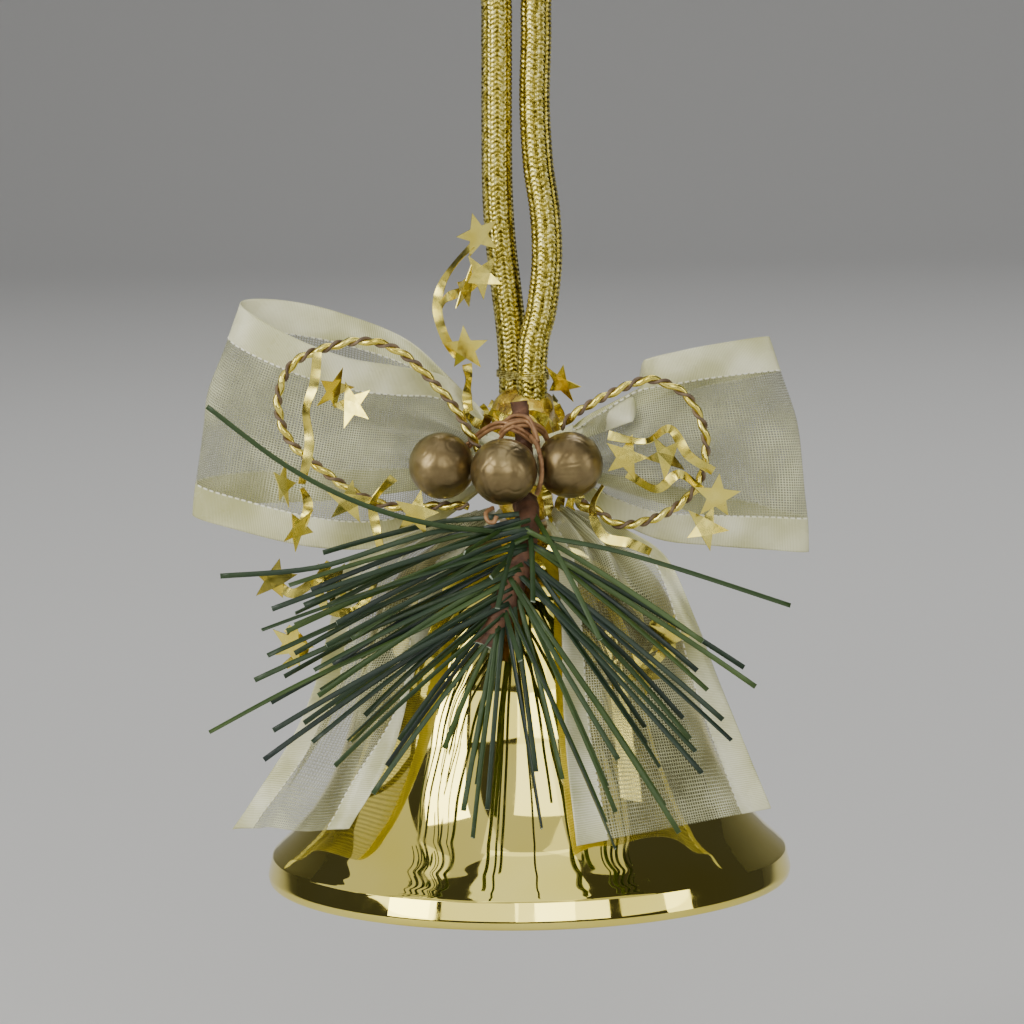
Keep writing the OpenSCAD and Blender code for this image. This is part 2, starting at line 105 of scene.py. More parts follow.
def make_stage():
    """A pale sweep: floor, a quarter round, and a wall behind."""
    z0 = place((0, 0, -FLOOR_DROP))[2]
    profile = [(-FLOOR_HALF, z0), (FLOOR_HALF, z0)]
    steps = 24
    for k in range(1, steps + 1):
        a = k / steps * math.pi / 2
        profile.append((FLOOR_HALF + SWEEP_RADIUS * math.sin(a), z0 + SWEEP_RADIUS * (1 - math.cos(a))))
    profile.append((FLOOR_HALF + SWEEP_RADIUS, z0 + WALL_H))
    verts = [(x, y, z) for y, z in profile for x in (-SWEEP_HALF_WIDTH, SWEEP_HALF_WIDTH)]
    faces = [(2 * i, 2 * i + 1, 2 * i + 3, 2 * i + 2) for i in range(len(profile) - 1)]
    sweep = mesh_piece("floor", verts, faces, [plain("floor_paint", (0.74, 0.74, 0.73), 0.7)])


WARM = (1, 0.98, 0.93)
# Low strips that the lip band mirrors: degrees from the front, and watts.
STRIP_AWAY, STRIP_Z, STRIP_W, STRIP_TALL = 1.25, 0.14, 0.74, 0.16
LIP_STRIPS = [(-97, 0.5), (-60, 1.1), (-22, 0.55), (18, 1.2), (56, 0.5)]
# Broad dim panels that the skirt of the bell mirrors.
VEIL_AWAY, VEIL_Z, VEIL_W, VEIL_TALL, VEIL_WATTS = 1.26, 1.0, 1.06, 1.5, 3.0
VEILS = (-97, -50, -3, 44)


def around(turn, away, height):
    a = math.radians(turn)
    return away * math.sin(a), -away * math.cos(a), height


def make_light():
    world = bpy.data.worlds.new("studio")
    world.use_nodes = True
    world.node_tree.nodes["Background"].inputs[0].default_value = (0.24, 0.24, 0.25, 1)
    world.node_tree.nodes["Background"].inputs[1].default_value = 0.2
    bpy.context.scene.world = world
    middle = tuple(place((0, 0, 40)))
    soft_box("key", (-0.98, -0.76, 0.40), middle, 0.55, 0.85, 9, WARM)
    soft_box("front", (0.14, -1.3, 0.47), middle, 0.66, 0.86, 4, WARM)
    soft_box("fill", (1.15, -0.5, 0.15), middle, 0.3, 0.7, 2, WARM)
    soft_box("top", (0, -0.15, 1.25), middle, 0.8, 1.1, 3)
    soft_box("back", (0.3, 0.9, 1.2), (0.2, 1.6, -0.1), 0.9, 0.7, 10)
    for k, turn in enumerate(VEILS):
        soft_box(f"veil_{k}", around(turn, VEIL_AWAY, VEIL_Z), middle, VEIL_W, VEIL_TALL, VEIL_WATTS, WARM)
    for k, (turn, watts) in enumerate(LIP_STRIPS):
        soft_box(f"low_{k}", around(turn, STRIP_AWAY, STRIP_Z), middle, STRIP_W, STRIP_TALL, watts, WARM)


# ---------------------------------------------------------------- mesh helpers

def mesh_piece(name, verts, faces, materials, index=None, uv=None, smooth=True):
    mesh = bpy.data.meshes.new(name)
    mesh.from_pydata([tuple(v) for v in verts], [], [tuple(f) for f in faces])
    for m in materials:
        mesh.materials.append(m)
    if index is not None:
        mesh.polygons.foreach_set("material_index", np.asarray(index, dtype=np.int32))
    mesh.polygons.foreach_set("use_smooth", np.broadcast_to(smooth, len(mesh.polygons)).copy())
    if uv is not None:
        layer = mesh.uv_layers.new(name="UVMap")
        corner = np.empty(len(mesh.loops), dtype=np.int32)
        mesh.loops.foreach_get("vertex_index", corner)
        layer.data.foreach_set("uv", np.asarray(uv, float)[corner].ravel())
    mesh.update()
    piece = bpy.data.objects.new(name, mesh)
    bpy.context.collection.objects.link(piece)
    return piece


def add_tone_and_painted_shade(piece, tones):
    """A number per vertex that the material reads: a needle's own tone, and the cord's stitch height, which
    the lurex colour paints as shade and highlight.
    """
    layer = piece.data.attributes.new("tone", "FLOAT", "POINT")
    layer.data.foreach_set("value", np.asarray(tones, dtype=np.float32))


def smooth_path(points, steps):
    """Smooth curve through the points, as the CAD source draws it."""
    p = np.asarray(points, float)
    n = len(p) - 1
    t = np.linspace(0, n, steps + 1)
    i = np.minimum(np.floor(t).astype(int), n - 1)
    f = (t - i)[:, None]
    a, b, c, d = p[np.maximum(i - 1, 0)], p[i], p[i + 1], p[np.minimum(i + 2, n)]
    return 0.5 * (2 * b + (c - a) * f + (2 * a - 5 * b + 4 * c - d) * f**2 + (3 * b - a - 3 * c + d) * f**3)


def unit(v):
    return v / np.linalg.norm(v, axis=-1, keepdims=True)


def even_path(points, gap):
    """The smooth curve again, with its points an even distance apart."""
    fine = smooth_path(points, 40 * len(points))
    run = np.concatenate([[0], np.cumsum(np.linalg.norm(np.diff(fine, axis=0), axis=1))])
    count = max(int(round(run[-1] / gap)), 2)
    at = np.linspace(0, run[-1], count + 1)
    return np.stack([np.interp(at, run, fine[:, k]) for k in range(3)], axis=1), at


def frames_of(path, ref=(0, 1, 0)):
    """Tangent, side and normal at each point of a path."""
    t = unit(np.gradient(path, axis=0))
    s = unit(np.cross(t, np.asarray(ref, float)))
    return t, s, np.cross(s, t)


def ring_faces(rings, sides):
    """Quads between rings of points, and a cap at each end."""
    faces = []
    for i in range(rings - 1):
        for k in range(sides):
            a, b = i * sides + k, i * sides + (k + 1) % sides
            faces.append((a, b, b + sides, a + sides))
    faces.append(tuple(reversed(range(sides))))
    faces.append(tuple(range((rings - 1) * sides, rings * sides)))
    return faces


def angles(count):
    return 2 * np.pi * np.arange(count) / count


def turned(radii, heights, segments, middle=(0, 0)):
    """A profile turned round Z. radii has a row per height, with one column or a column per segment."""
    a = angles(segments)
    z = np.repeat(heights[:, None], segments, 1)
    return np.stack([middle[0] + radii * np.cos(a), middle[1] + radii * np.sin(a), z], axis=2).reshape(-1, 3)


def tube_points(path, radius, sides, ref=(0, 1, 0)):
    """Rings round a path. radius is a number, or an array with one row per ring and a column per side."""
    _, s, n = frames_of(path, ref)
    a = angles(sides)
    r = np.broadcast_to(np.asarray(radius, float), (len(path), sides))[:, :, None]
    ring = path[:, None] + r * (np.cos(a)[None, :, None] * s[:, None] + np.sin(a)[None, :, None] * n[:, None])
    return ring.reshape(-1, 3)


def rolled(path, turn):
    """Width and thickness directions of a strip that is rolled about its length."""
    _, s, n = frames_of(path)
    sin, cos = np.sin(turn)[:, None], np.cos(turn)[:, None]
    return s * cos + n * sin, n * cos - s * sin


class Build:
    """Collects several closed shapes into one piece."""

    def __init__(self):
        self.verts, self.faces, self.index, self.tones, self.smooth, self.count = [], [], [], [], [], 0

    def add(self, verts, faces, material=0, tone=0.5, end_material=None, smooth=True):
        self.verts.append(np.asarray(verts, float))
        self.faces += [tuple(self.count + v for v in f) for f in faces]
        mats = [material] * len(faces)
        if end_material is not None:
            mats[-1] = end_material
        self.index += mats
        self.tones += [tone] * len(verts)
        self.smooth += [smooth] * len(faces)
        self.count += len(verts)

    def piece(self, name, materials):
        verts = np.concatenate(self.verts)
        piece = mesh_piece(name, verts, self.faces, materials, self.index, smooth=self.smooth)
        add_tone_and_painted_shade(piece, self.tones)
        return piece


# ---------------------------------------------------------------- materials

class Nodes:
    """A short way to write a node tree on top of its Principled shader."""

    def __init__(self, name, base, rough, metallic=0.0, **fixed):
        self.mat = bpy.data.materials.new(name)
        self.mat.use_nodes = True
        self.tree = self.mat.node_tree
        self.shader = self.tree.nodes["Principled BSDF"]
        self.set(**{"Base Color": (*base, 1), "Roughness": rough, "Metallic": metallic})
        self.set(**{k.replace("_", " "): v for k, v in fixed.items()})

    def set(self, **values):
        for key, value in values.items():
            self.shader.inputs[key].default_value = value

    def node(self, kind, values=None, **props):
        n = self.tree.nodes.new(kind)
        for key, value in props.items():
            setattr(n, key, value)
        for key, value in (values or {}).items():
            if isinstance(value, bpy.types.NodeSocket):
                self.tree.links.new(value, n.inputs[key])
            else:
                n.inputs[key].default_value = value
        return n

    def link(self, socket, name):
        self.tree.links.new(socket, self.shader.inputs[name])

    def where(self, kind):
        return self.node("ShaderNodeTexCoord").outputs[kind]

    def noise(self, scale, detail, rough=0.5):
        return self.node(
            "ShaderNodeTexNoise",
            {"Vector": self.where("Object"), "Scale": scale, "Detail": detail, "Roughness": rough},
        ).outputs["Fac"]

    def ramp(self, fac, stops):
        n = self.node("ShaderNodeValToRGB", {"Fac": fac})
        e = n.color_ramp.elements
        while len(e) < len(stops):
            e.new(0.5)
        for k, (at, colour) in enumerate(stops):
            e[k].position = at
            e[k].color = (*colour, 1)
        return n.outputs["Color"]

    def range(self, value, low, high, to_low, to_high):
        return self.node(
            "ShaderNodeMapRange",
            {"Value": value, "From Min": low, "From Max": high, "To Min": to_low, "To Max": to_high},
        ).outputs["Result"]

    def colour(self, fac, stops):
        self.link(self.ramp(fac, stops), "Base Color")

    def rough(self, scale, detail, low, high):
        """Roughness that wanders between two values."""
        self.link(self.range(self.noise(scale, detail), 0.3, 0.7, low, high), "Roughness")

    def math(self, how, a, b):
        return self.node("ShaderNodeMath", {0: a, 1: b}, operation=how).outputs[0]

    def bump(self, height, strength, distance):
        n = self.node("ShaderNodeBump", {"Height": height, "Strength": strength, "Distance": distance})
        self.link(n.outputs["Normal"], "Normal")

    def tone(self):
        return self.node("ShaderNodeAttribute", attribute_name="tone").outputs["Fac"]


def plain(name, base, rough):
    m = Nodes(name, base, rough)
    m.rough(3, 3, rough - 0.05, rough + 0.05)
    return m.mat


def gold_plate():
    """Vacuum-plated mirror gold with a slight waviness and fine handling marks."""
    m = Nodes("gold_plate", (0.94, 0.81, 0.19), 0.05, 1.0)
    m.colour(m.noise(55, 2), [(0.3, (0.92, 0.78, 0.15)), (0.7, (0.96, 0.84, 0.23))])
    m.link(m.range(m.noise(420, 4), 0.45, 0.75, 0.025, 0.085), "Roughness")
    m.bump(m.noise(38, 1), 0.10, 0.004)
    return m.mat


def brass_wire():
    m = Nodes("brass_wire", (0.66, 0.48, 0.20), 0.3, 1.0)
    m.colour(m.noise(600, 3), [(0.3, (0.50, 0.34, 0.13)), (0.7, (0.74, 0.56, 0.26))])
    m.rough(900, 3, 0.22, 0.42)
    return m.mat


def clapper_brass():
    m = Nodes("clapper_brass", (0.74, 0.56, 0.26), 0.25, 1.0)
    m.colour(m.noise(160, 4), [(0.3, (0.62, 0.45, 0.18)), (0.7, (0.80, 0.62, 0.30))])
    m.rough(700, 4, 0.16, 0.34)
    m.bump(m.noise(1400, 2), 0.15, 0.0002)
    return m.mat


def lurex():
    """Metallic yarn: bright crests over amber hollows, painted from the stitch height as highlight and shade,
    with a painted sparkle that changes from cell to cell; the same sparkle noise varies the roughness.
    """
    m = Nodes("lurex", (0.75, 0.58, 0.22), 0.3, 1.0)
    height_as_painted_shade = m.tone()
    painted_sparkle_and_roughness = m.noise(1500, 2, rough=0.7)
    # Painted light: the stitch height gives painted shade in the hollows and a painted highlight on the
    # crests, and the cell noise adds a painted sparkle.
    painted_shade_and_sparkle = m.math("ADD", height_as_painted_shade, m.range(painted_sparkle_and_roughness, 0.3, 0.7, -0.3, 0.35))
    stops = [(0.2, (0.07, 0.05, 0.004)), (0.6, (0.44, 0.36, 0.05)), (0.95, (0.98, 0.90, 0.36))]
    m.colour(painted_shade_and_sparkle, stops)
    m.link(m.range(painted_sparkle_and_roughness, 0.35, 0.65, 0.14, 0.38), "Roughness")
    return m.mat


def foil():
    """Bright gold foil with shallow dents."""
    m = Nodes("foil", (0.92, 0.74, 0.22), 0.2, 1.0)
    m.colour(m.noise(240, 2), [(0.3, (0.80, 0.65, 0.10)), (0.7, (0.95, 0.84, 0.22))])
    m.rough(900, 3, 0.12, 0.28)
    m.bump(m.noise(200, 2), 0.12, 0.0006)
    return m.mat


def brown_wire():
    m = Nodes("brown_wire", (0.16, 0.11, 0.07), 0.5, 0.3)
    m.colour(m.noise(700, 3), [(0.3, (0.10, 0.065, 0.04)), (0.7, (0.26, 0.19, 0.12))])
    return m.mat


def satin():
    """Woven satin edge of the ribbon: ivory, with a fine cross rib and a silky sheen, and broad sheen patches
    painted into its colour by a cloud that also drives the bump.
    """
    m = Nodes("satin", (0.74, 0.74, 0.44), 0.28, Sheen_Weight=0.3, Sheen_Roughness=0.35, Coat_Weight=0.4,
              Coat_Roughness=0.2)
    uv = m.where("UV")
    rib = m.node("ShaderNodeTexWave", {"Vector": uv, "Scale": 1250, "Distortion": 0.4}, bands_direction="X")
    cloud_and_painted_sheen = m.noise(85, 2)
    # Painted sheen: the cloud lightens and darkens the colour in broad patches; it also drives the bump.
    tint_and_painted_sheen = m.math("ADD", m.range(rib.outputs["Fac"], 0, 1, -0.08, 0.08), cloud_and_painted_sheen)
    stops = [(0.34, (0.50, 0.50, 0.22)), (0.5, (0.72, 0.72, 0.41)), (0.66, (0.94, 0.94, 0.68))]
    m.colour(tint_and_painted_sheen, stops)
    m.rough(200, 3, 0.18, 0.36)
    m.bump(m.math("ADD", m.math("MULTIPLY", rib.outputs["Fac"], 0.05), cloud_and_painted_sheen), 0.5, 0.0014)
    return m.mat


def organza():
    """Sheer plain weave: fine warp and weft threads with open space between them. A broad cloud varies how
    much the threads cover, and brightens and darkens them in patches as painted sheen.
    """
    m = Nodes("organza", (0.52, 0.53, 0.31), 0.3, Sheen_Weight=0.3, Sheen_Roughness=0.35)
    uv = m.where("UV")
    warp = m.node("ShaderNodeTexWave", {"Vector": uv, "Scale": 760, "Distortion": 0.5}, bands_direction="X")
    weft = m.node("ShaderNodeTexWave", {"Vector": uv, "Scale": 690, "Distortion": 0.5}, bands_direction="Y")
    thread = m.math("MAXIMUM", warp.outputs["Fac"], weft.outputs["Fac"])
    cloud_and_painted_sheen = m.noise(75, 4)
    # Painted sheen: the cloud brightens and darkens the threads in broad patches; it also varies the cover
    # and drives the bump.
    tint_and_painted_sheen = m.math("MULTIPLY", thread, cloud_and_painted_sheen)
    stops = [(0.15, (0.19, 0.195, 0.10)), (0.42, (0.47, 0.48, 0.27)), (0.62, (0.88, 0.89, 0.60))]
    m.colour(tint_and_painted_sheen, stops)
    cover = m.range(thread, 0.3, 1, 0.1, 0.48)
    m.link(m.math("ADD", cover, m.range(cloud_and_painted_sheen, 0.35, 0.65, -0.08, 0.2)), "Alpha")
    m.bump(m.math("ADD", m.math("MULTIPLY", thread, 0.05), cloud_and_painted_sheen), 0.4, 0.0012)
    return m.mat


def stitch():
    m = Nodes("stitch", (0.95, 0.93, 0.80), 0.4, Sheen_Weight=0.4)
    m.colour(m.noise(900, 2), [(0.3, (0.84, 0.83, 0.60)), (0.7, (0.96, 0.96, 0.82))])
    return m.mat


def berry_lacquer():
    """Golden bronze pearl lacquer, darker and lighter in broad patches."""
    m = Nodes("berry_lacquer", (0.27, 0.195, 0.09), 0.34, 0.9, Coat_Weight=0.3, Coat_Roughness=0.28)
    patch = m.noise(150, 4, rough=0.55)
    stops = [(0.3, (0.13, 0.088, 0.032)), (0.55, (0.23, 0.168, 0.07)), (0.8, (0.40, 0.315, 0.15))]
    m.colour(patch, stops)
    m.rough(700, 3, 0.28, 0.4)
    m.bump(m.noise(1100, 2), 0.08, 0.0003)
    return m.mat


def paper():
    """Crinkled florist's paper, red-brown, with painted shade in the crinkles: the colour is darker where the
    bump is low.
    """
    m = Nodes("paper", (0.16, 0.07, 0.045), 0.7)
    fold = m.noise(520, 4)
    # Painted shade: the colour is darker where the same noise sinks the bump.
    m.colour(fold, [(0.3, (0.055, 0.022, 0.011)), (0.7, (0.17, 0.075, 0.034))])
    m.bump(fold, 0.5, 0.0004)
    return m.mat


def waxed_wire():
    """Thin florist's wire in orange-brown wax."""
    m = Nodes("waxed_wire", (0.30, 0.15, 0.06), 0.45, 0.2)
    m.colour(m.noise(600, 3), [(0.3, (0.16, 0.07, 0.025)), (0.7, (0.42, 0.23, 0.10))])
    m.rough(800, 2, 0.35, 0.6)
    return m.mat


def needle_green():
    """Each needle has its own green, from yellow-green to blue-green, with a soft plastic gloss."""
    m = Nodes("needle_green", (0.05, 0.12, 0.05), 0.42)
    own = m.math("ADD", m.tone(), m.range(m.noise(150, 2), 0.3, 0.7, -0.12, 0.12))
    stops = [
        (0.0, (0.006, 0.018, 0.014)), (0.3, (0.012, 0.034, 0.010)), (0.65, (0.026, 0.060, 0.009)),
        (1.0, (0.052, 0.096, 0.016)),
    ]
    m.colour(own, stops)
    m.rough(800, 2, 0.34, 0.52)
    return m.mat


def needle_cut():
    m = Nodes("needle_cut", (0.30, 0.36, 0.28), 0.6)
    m.colour(m.noise(2000, 2), [(0.3, (0.20, 0.27, 0.19)), (0.7, (0.42, 0.48, 0.38))])
    return m.mat


def amber_glue():
    """Lump of hot glue with gold foil crushed into it. Its colour follows the bump, as painted shade in the
    hollows and a painted highlight on the crests.
    """
    m = Nodes("amber_glue", (0.62, 0.42, 0.04), 0.22, 0.6, Coat_Weight=0.6, Coat_Roughness=0.08)
    lump = m.noise(330, 4, rough=0.65)
    stops = [(0.3, (0.26, 0.13, 0.006)), (0.5, (0.64, 0.44, 0.03)), (0.72, (0.94, 0.80, 0.16))]
    # Painted shade and highlight: dark amber where the bump is low, pale gold where it is high.
    m.colour(lump, stops)
    m.link(m.range(lump, 0.3, 0.7, 0.85, 0.3), "Metallic")
    m.bump(lump, 0.6, 0.0012)
    return m.mat


GOLD, WIRE, CLAPPER, LUREX = gold_plate(), brass_wire(), clapper_brass(), lurex()
FOIL, BROWN, SATIN, ORGANZA, STITCH = foil(), brown_wire(), satin(), organza(), stitch()
LACQUER, PAPER, WAXED, GREEN = berry_lacquer(), paper(), waxed_wire(), needle_green()
CUT, GLUE = needle_cut(), amber_glue()

# ---------------------------------------------------------------- the cord

CORD_D = 0.0053
# Route of the cord, in metres, with heights above the lip.
CORD_ROUTE = [
    (-0.0012, 0.0006, 0.0811), (-0.0012, 0.0006, 0.086), (-0.0015, 0.0004, 0.092), (-0.0022, 0, 0.099),
    (-0.003, -0.0006, 0.107), (-0.0034, -0.0012, 0.116), (-0.0033, -0.0016, 0.128),
    (-0.0031, -0.0016, 0.140), (-0.0032, -0.0016, 0.148), (-0.0054, -0.0016, 0.154),
    (-0.009, -0.0016, 0.160), (-0.0118, -0.0016, 0.166), (-0.0116, -0.0016, 0.172),
    (-0.0072, -0.0016, 0.177), (0, -0.0016, 0.1786), (0.0074, -0.0016, 0.177),
    (0.0118, -0.0016, 0.172), (0.012, -0.0016, 0.166), (0.0092, -0.0016, 0.160),
    (0.0058, -0.0016, 0.154), (0.0037, -0.0016, 0.148), (0.0034, -0.0016, 0.140),
    (0.003, -0.0018, 0.130), (0.0034, -0.0024, 0.120), (0.0044, -0.003, 0.112),
    (0.0046, -0.0034, 0.104), (0.0036, -0.0036, 0.096), (0.0023, -0.0037, 0.091),
    (0.0018, -0.0038, 0.086), (0.0018, -0.0038, 0.0811),
]
CORD_TUCK = 0.0026
# Wales round the cord, points across each, distance between rings, length of a stitch, and its depth.
WALES, PER_WALE, RING_GAP, STITCH_PITCH, STITCH_DEPTH = 8, 10, 0.00016, 0.00078, 0.00038
# How far a V stitch's arms run on along the cord, and the half width of the slit between them.
ARM_LEAD, SLIT = 0.85, 0.16
# A line at SWING_Y, and two heights above the lip; the thread whipping is wound at SWING_H.
SWING_Y, SWING_H, FLEX_H = -1.6, 85, 112


def bend_with_cord(piece):
    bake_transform(piece)


def make_cord():
    """Knitted tube: wales of V stitches run along it, and its two ends go down into the glue."""
    route = np.array(CORD_ROUTE)
    tuck = np.array([0, 0, -CORD_TUCK])
    route = np.concatenate([[route[0] + tuck], route, [route[-1] + tuck]]) + np.array(LIP)
    path, run = even_path(route, RING_GAP)
    sides = WALES * PER_WALE
    across = (np.arange(sides) % PER_WALE + 0.5) / PER_WALE * 2 - 1
    rib = np.sqrt(np.clip(1 - np.abs(across) ** 2.4, 0, 1))
    phase = run[:, None] / STITCH_PITCH - ARM_LEAD * np.abs(across)[None, :]
    own = 0.5 + 0.5 * np.cos(2 * np.pi * phase)
    split = 1 - np.exp(-((across / SLIT) ** 2))
    height = rib[None, :] * (0.55 + 0.45 * own) * (0.72 + 0.28 * split[None, :])
    verts = tube_points(path, CORD_D / 2 - STITCH_DEPTH * (1 - height), sides)
    piece = mesh_piece("woven_cord", verts, ring_faces(len(path), sides), [LUREX])
    # The stitch height goes to the lurex colour as painted shade in the hollows and a painted highlight on
    # the crests.
    add_tone_and_painted_shade(piece, (0.15 + 0.7 * height).ravel())
    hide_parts("hanging_cord")
    bend_with_cord(piece)


# Middles of the cord's two strands where the thread holds them.
STRANDS = [(-1.2, 0.6), (1.8, -3.8)]
THREAD_D = 0.3
THREAD_SIDES = 10


def make_whipping():
    """Fine thread wound in close turns round both strands."""
    turns, steps = 4, 60
    a, b = (np.array(s) for s in STRANDS)
    out = unit(b - a)
    side = np.array([-out[1], out[0]])
    radius = CORD_D / 2 / MM + THREAD_D / 2
    path = []
    for k in range(turns * steps + 1):
        angle = 2 * math.pi * k / steps
        end = b if math.cos(angle) > 0 else a
        flat = end + radius * (math.cos(angle) * out + math.sin(angle) * side)
        path.append((flat[0], flat[1], SWING_H + (k / steps - turns / 2) * THREAD_D))
    path = place(path)
    verts = tube_points(path, THREAD_D / 2 * MM, THREAD_SIDES, (0, 0, 1))
    piece = mesh_piece("thread_whipping", verts, ring_faces(len(path), THREAD_SIDES), [LUREX])
    add_tone_and_painted_shade(piece, [0.7] * len(verts))
    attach(piece, "cord_band")
    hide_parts("cord_whipping")


# ---------------------------------------------------------------- the bell

# Radius and height above the lip, outside from the lip up and inside from the crown down.
OUTER = [
    (44.05, 1.2), (43.98, 1.7), (43.4, 4.1), (43.25, 4.55), (42.9, 4.95), (42, 5.8), (39.6, 8.15),
    (36, 12.4), (32.6, 18.4), (29.6, 27), (27.4, 37), (24.8, 45.4), (20.6, 52), (14, 56.8), (8, 59),
    (3, 59.55), (1.0, 59.6),
]
INNER = [
    (1.0, 58.8), (5, 58.7), (13.6, 56.1), (20, 51.4), (24, 45.2), (26.6, 37), (28.8, 27), (31.8, 18.1),
    (35.2, 11.9), (38.8, 7.6), (41.2, 5.2), (42.1, 4.1), (42.35, 3), (42.4, 0.45), (42.7, 0),
    (43.2, 0), (43.7, 0.12), (43.95, 0.5), (44.05, 1.2),
]


def make_bell():
    """Turned shell with a rolled lip, as one closed skin."""
    segments, steps = 288, 220
    outer = smooth_path([(r, 0, z) for r, z in OUTER], steps)
    inner = smooth_path([(r, 0, z) for r, z in INNER], steps)[:-1]
    profile = np.concatenate([outer, inner])
    verts = turned(profile[:, :1], profile[:, 2], segments)
    rows = len(profile)
    faces = [
        (i * segments + k, i * segments + (k + 1) % segments,
         (i + 1) % rows * segments + (k + 1) % segments, (i + 1) % rows * segments + k)
        for i in range(rows) for k in range(segments)
    ]
    piece = mesh_piece("polished_bell", place(verts), faces, [GOLD])
    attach(piece, "bell")
    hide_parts("bell_shell")


# ---------------------------------------------------------------- the ribbon

RIBBON_W = 38
BAND_SHARE = 0.155
# Pleats across the width at the knot, and how many of them run out along the cloth.
PLEATS, PLEATS_LOST = 4.4, 2.2
# Share of the cloth's full width that the pleats carry.
HELD_SHARE = 0.86
# Share of the length over which a folded band opens out, and its distance behind the cloth.
TUCK_EASE, TUCK_GAP = 0.05, 0.4
# Share of a loop's length that its bend takes.
BEND_SHARE = 0.1
CLOTH_T = 0.12
# Height of the broad folds in the loops and in the tails.
LOOP_DRAPE, TAIL_DRAPE = 2.1, 1.1

# Both edges of each piece of ribbon. A loop's run from the knot along its front, round its bend and back.
LOOP_LEFT_LOW = [
    (-6, -10, 67), (-14, -12.2, 61.5), (-24, -13.8, 58), (-35, -13, 58.2), (-47, -10.4, 60.8),
    (-54.8, -7.4, 63.2), (-47, -4.6, 64.4), (-34, -3.4, 64.6), (-20, -4.6, 66), (-7, -7.2, 68.5),
]
LOOP_LEFT_HIGH = [
    (-6, -10, 78.4), (-12, -12.2, 85.6), (-20, -13.4, 87.8), (-29, -13.2, 89.6), (-38.5, -11.6, 93.4),
    (-46, -7.4, 98), (-40.5, -4.4, 98.4), (-30, -3.2, 96), (-17.5, -3.8, 90.4), (-6.4, -7.2, 79.4),
]
LOOP_RIGHT_LOW = [
    (7.6, -10, 67), (14, -12, 62.4), (22, -13.4, 58.6), (31, -12.4, 57.2), (40, -9.8, 56),
    (47.2, -7, 55.2), (40, -4.4, 58), (30, -3.2, 61), (18, -4.4, 65), (8.6, -7.2, 68.5),
]
LOOP_RIGHT_HIGH = [
    (7.6, -10, 77.5), (12, -11.8, 82), (18.6, -13, 87.4), (26, -12, 89.4), (34.6, -9.4, 90.6),
    (41, -6.8, 91), (36, -4.2, 88.6), (28, -3, 86), (17, -4.2, 81.5), (8.6, -7.2, 77),
]
TAIL_LEFT_OUTER = [
    (-9, -13.2, 63), (-20, -16.4, 60), (-29, -17, 55.8), (-32.2, -16, 45.4), (-34.9, -11, 34.4),
    (-39.8, -5, 23.2), (-49.8, -1, 8.6),
]
TAIL_LEFT_INNER = [
    (-3, -13.2, 63), (-7, -17, 60), (-12, -20, 56), (-15.4, -24.6, 46), (-18.6, -26.4, 36),
    (-22.4, -27, 26), (-29.4, -27, 13.8),
]
TAIL_RIGHT_INNER = [
    (3.4, -13.2, 63), (4.6, -16.6, 60), (5.4, -20, 56), (5.6, -27, 46), (5.6, -30, 36),
    (6.2, -32, 26), (7.6, -37.4, 12.4),
]
TAIL_RIGHT_OUTER = [
    (9.4, -13.2, 63), (17, -16.2, 60), (23.4, -18.6, 56), (28, -20.4, 46), (31.4, -21, 36),
    (35.2, -21.4, 26), (39.8, -21.4, 14.8),
]


def ribbon(name, node, low, high, length, looped, fold, turn_back, bulge, tuck):
    """Ribbon between two edges. Where the edges stand closer than the cloth is wide, pleats take up the rest.

    fold(u, v) is the shape of the pleats, from -1 to 1. turn_back is how far the middle of the cloth turns
    out of the plane of its two satin bands, and bulge is how far a loop's bend bows out along X. Up to the
    share tuck of its length, the upper band is folded down behind the cloth."""
    steps, across = 150, 96
    a, b = smooth_path(low, steps), smooth_path(high, steps)
    u, v = np.linspace(0, 1, steps + 1)[:, None], np.linspace(0, 1, across + 1)[None, :]
    wide = np.linalg.norm(b - a, axis=1)[:, None]
    eased = v + turn_back * (v * v * (3 - 2 * v) - v)
    band = np.maximum(v - (1 - BAND_SHARE), 0)
    folded = np.pi * np.clip((tuck - u) / TUCK_EASE + 1, 0, 1)
    back = band * (1 - np.cos(folded))
    grid = a[:, None] + (b - a)[:, None] * np.stack([v - back, eased - back, v - back], axis=2)
    grid[:, :, 1] += (band > 0) * (band * wide * np.sin(folded) + TUCK_GAP * folded / np.pi)
    grid[:, :, 0] += bulge * np.exp(-(((u - 0.5) / BEND_SHARE) ** 2)) * np.sin(np.pi * v)
    normal = unit(np.cross(np.gradient((a + b) / 2, axis=0), b - a))
    slope = 1.5 * np.sqrt(np.maximum(HELD_SHARE * RIBBON_W / wide, 1.01) ** 2 - 1)
    pleat_h = slope * wide / (2 * np.pi * pleat_count(u, looped)) + 0.1
    off = pleat_h * fold(u, v) + drape(u, v, length, looped)
    grid = grid + normal[:, None] * off[:, :, None]
    cols = across + 1
    quads = [
        (i * cols + j, (i + 1) * cols + j, (i + 1) * cols + j + 1, i * cols + j + 1)
        for i in range(steps) for j in range(across)
    ]
    centre = (np.arange(across) + 0.5) / across
    edge = (np.minimum(centre, 1 - centre) < BAND_SHARE).astype(int)
    index = np.tile(edge, steps)
    uv = np.stack(np.broadcast_arrays(u * length * MM, v * RIBBON_W * MM), axis=2).reshape(-1, 2)
    sheet = mesh_piece(name, place(grid.reshape(-1, 3)), quads, [ORGANZA, SATIN], index, uv)
    skin = sheet.modifiers.new("skin", "SOLIDIFY")
    skin.thickness = CLOTH_T * MM
    skin.offset = 0
    apply_modifiers(sheet)
    seams = stitches(name, grid, v[0])
    for piece in (sheet, seams):
        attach(piece, "bell")
    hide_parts(node)


